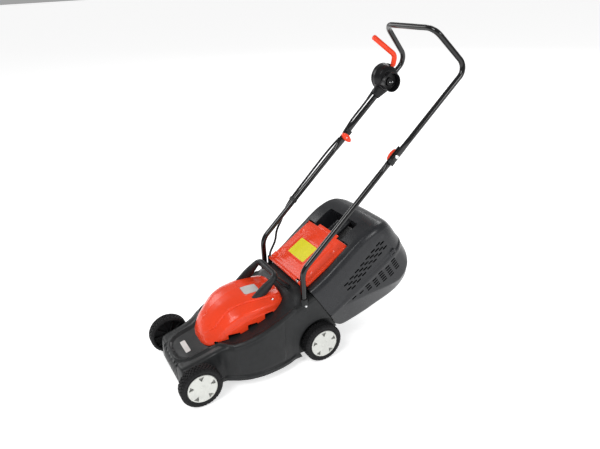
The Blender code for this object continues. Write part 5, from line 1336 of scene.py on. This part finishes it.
def make_lever():
    shift = Vector((LEVER_X, 0, 0))
    leave = SWITCH + Vector((0.0, 0.027, 0.044))
    bend = SWITCH + Vector((0.0, 0.034, 0.076))
    tip = SWITCH + Vector((0.0, -0.059, 0.146))
    path = spaced(rounded_path([PIVOT, leave, bend, tip], [0.022, 0.022], 14), 0.003)
    stations = []
    for p in path:
        away = (p - SWITCH).length
        share = float(smoothstep((away - 0.043) / 0.008))
        half = 0.0066 + (0.0095 - 0.0066) * share
        stations.append((p + shift, half, half))
    direction = (tip - bend).normalized()
    for reach, size in ((0.0012, 0.97), (0.0022, 0.86), (0.0029, 0.65)):
        stations.append((tip + direction * reach + shift, 0.0095 * size, 0.0095 * size))
    lever = sweep("switch_bail", stations, 40, ends=False)
    hub = rod((LEVER_X - 0.0075, PIVOT.y, PIVOT.z), (LEVER_X + 0.0075, PIVOT.y, PIVOT.z), 0.0105, sides=48)
    boolean(lever, [hub], "UNION")
    bore = rod((LEVER_X - 0.02, PIVOT.y, PIVOT.z), (LEVER_X + 0.02, PIVOT.y, PIVOT.z), 0.0023, sides=24)
    boolean(lever, [bore])
    finished(lever, "switch_lever", "red", ["switch_lever"])


# ---------------------------------------------------------------- cable

def tube_point(along, off, x):
    return FOLD + along * UP_TUBE + off * OFF_TUBE + Vector((x, 0, 0))


def make_cable():
    beside = TUBE_RADIUS + CABLE + 0.002
    x_out = -(UPPER_X + 0.015)
    x_top = SPLIT_X - 0.006
    top = tube_point(0.210, 0.019, x_top)
    end = tube_point(0.165, 0.016, x_top)
    stations = []
    for k in range(46):
        t = k / 45
        ring = 0.00045 * (1 if (k // 3) % 2 else -1)
        radius = 0.0064 - 0.0018 * t + ring
        stations.append((top.lerp(end, t), radius, radius))
    relief = sweep("cord_sleeve", stations, 28)
    finished(relief, "upper_handle", "cable", ["strain_relief"])
    down = (end - top).normalized()
    upper = smooth_route([
        end + down * 0.0003, tube_point(0.165 - 0.040, 0.90 * beside, SPLIT_X - 0.45 * beside),
        tube_point(0.075, 0.70 * beside, SPLIT_X - 0.71 * beside),
        tube_point(0.035, 0.26 * beside, x_out + 0.001), tube_point(0.012, 0.0, x_out),
    ])
    piece = sweep("wire_upper", [(p, CABLE, CABLE) for p in upper], 24)
    finished(piece, "upper_handle", "cable", ["cable_upper"])
    x = -LOWER_X
    gland_x, gland_y, gland_top = -(LOWER_X - 0.007), SOCKET_Y + TUBE_RADIUS + 0.0105, 0.258
    lower = smooth_route([
        tube_point(-0.012, 0.0, x_out), tube_point(-0.050, 0.005, x_out + 0.003),
        tube_point(-0.100, 0.60 * beside, x - 1.06 * beside), tube_point(-0.200, 0.50 * beside, x - beside),
        tube_point(-0.300, 0.004, x - beside), tube_point(-0.345, -0.25 * beside, x - 0.94 * beside),
        tube_point(-0.385, -1.03 * beside, x - 0.008), (x - 0.002, BEND.y + 0.060, BEND.z + 0.020),
        (x + 0.002, BEND.y + 0.047, BEND.z - 0.020), (x + 0.006, BEND.y + 0.024, BEND.z - 0.056),
        (gland_x, gland_y, gland_top + 0.010), (gland_x, gland_y, gland_top),
        (gland_x, gland_y, gland_top - 0.022),
    ])
    piece = sweep("wire_lower", [(p, CABLE, CABLE) for p in lower], 24)
    finished(piece, "root", "cable", ["cable_lower"])
    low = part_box("cable_gland")[0].z
    profile = [(0.0044, gland_top), (0.0052, gland_top), (0.0063, gland_top - 0.006),
               (0.0063, low), (0.0044, low)]
    gland = turned("gland", profile, (gland_x, gland_y, 0.0), (0, 0, 1), 40, corner=0.0006)
    finished(gland, "root", "cable", ["cable_gland"])
    middle = tube_point(-0.300, 0.0, x)
    clip = rod(middle - 0.006 * UP_TUBE, middle + 0.006 * UP_TUBE, TUBE_RADIUS + 0.0018, sides=64,
               bevel=0.0006)
    wrap = rod(tube_point(-0.306, 0.004, x - beside), tube_point(-0.294, 0.004, x - beside), CABLE + 0.0026,
               sides=48, bevel=0.0006)
    boolean(clip, [wrap], "UNION")
    boolean(clip, [rod(middle - 0.02 * UP_TUBE, middle + 0.02 * UP_TUBE, TUBE_RADIUS + 0.0002, sides=64),
                   rod(tube_point(-0.320, 0.004, x - beside), tube_point(-0.280, 0.004, x - beside),
                       CABLE + 0.0010, sides=40)])
    clip.name = "cord_clip"
    finished(clip, "root", "handle", ["cable_clip"])


# ---------------------------------------------------------------- CAD nodes that stay

def dress_nodes():
    finish = {
        "steel": ["front_axle", "rear_axle", "motor_shaft", "bearing_lower", "bearing_upper", "flap_spring",
                  "lever_spring", "lever_pin", "flap_pin"],
        "chrome": ["hood_screw_left", "hood_screw_right", "socket_screw_left", "socket_screw_right",
                   "axle_nut_front_left", "axle_nut_front_right",
                   "axle_nut_rear_left", "axle_nut_rear_right"],
        "blade": ["blade"],
        "dark_steel": ["motor_can", "motor_base", "blade_bolt"],
        "copper": ["stator", "armature"],
        "inner": ["cooling_fan", "blade_holder", "micro_switch"],
    }
    for material, names in finish.items():
        for name in names:
            for place in bpy.data.objects[name].material_slots:
                place.material = M[material]


# ---------------------------------------------------------------- camera, light, floor

def make_camera():
    camera = bpy.data.cameras.new("camera")
    camera.sensor_fit = "HORIZONTAL"
    camera.sensor_width = 36.0
    camera.lens = 565.93 / 600 * 36
    camera.clip_end = 200
    holder = bpy.data.objects.new("camera", camera)
    bpy.context.scene.collection.objects.link(holder)
    right = Vector((0.4804, 0.8758, -0.0465))
    up = Vector((-0.3330, 0.2312, 0.9141))
    back = Vector((0.8114, -0.4237, 0.4027))
    turn = Matrix((right, up, back)).transposed()
    holder.matrix_world = Matrix.Translation(Vector((1.576, -0.3589, 1.2192)) + SHIFT) @ turn.to_4x4()
    bpy.context.scene.camera = holder


def area(name, place, target, size, power):
    light = bpy.data.lights.new(name, "AREA")
    light.shape = "RECTANGLE"
    light.size = size
    light.size_y = size
    light.energy = power
    holder = bpy.data.objects.new(name, light)
    bpy.context.scene.collection.objects.link(holder)
    holder.location = place
    holder.rotation_euler = (Vector(target) - Vector(place)).to_track_quat("-Z", "Y").to_euler()


def make_stage():
    world = bpy.data.worlds.new("studio")
    bpy.context.scene.world = world
    world.use_nodes = True
    world.node_tree.nodes["Background"].inputs["Color"].default_value = (1.0, 1.0, 1.0, 1)
    world.node_tree.nodes["Background"].inputs["Strength"].default_value = 0.36
    bm = bmesh.new()
    bmesh.ops.create_grid(bm, x_segments=1, y_segments=1, size=60.0)
    floor = from_bm("floor", bm)
    mat = bpy.data.materials.new("floor_white")
    mat.use_nodes = True
    shader = mat.node_tree.nodes["Principled BSDF"]
    shader.inputs["Base Color"].default_value = (0.93, 0.93, 0.93, 1)
    shader.inputs["Roughness"].default_value = 0.9
    shader.inputs["Specular IOR Level"].default_value = 0.1
    shader.inputs["Emission Color"].default_value = (1.0, 1.0, 1.0, 1)
    shader.inputs["Emission Strength"].default_value = 0.60
    floor.data.materials.append(mat)
    middle = (0.0, 0.0, 0.35)
    area("key", (2.4, -4.0, 5.2), middle, 2.6, 165)
    area("side", (5.0, 1.6, 3.0), middle, 1.5, 60)
    area("back", (-3.4, 4.0, 4.4), middle, 2.6, 110)
    area("left", (-4.6, -2.0, 2.6), middle, 2.2, 50)
    bpy.context.scene.view_settings.view_transform = "Standard"
    bpy.context.scene.view_settings.look = "None"
    bpy.context.scene.view_settings.exposure = 0.0


deck = make_deck()
make_badge(deck)
make_hood()
make_carry_handle()
for end in ("front", "rear"):
    for side, s in SIDES:
        make_wheel(end, side, s)
make_flap()
make_grass_box()
make_tubes()
make_fold_parts()
make_switch_box()
make_lever()
make_cable()
dress_nodes()
make_camera()
make_stage()
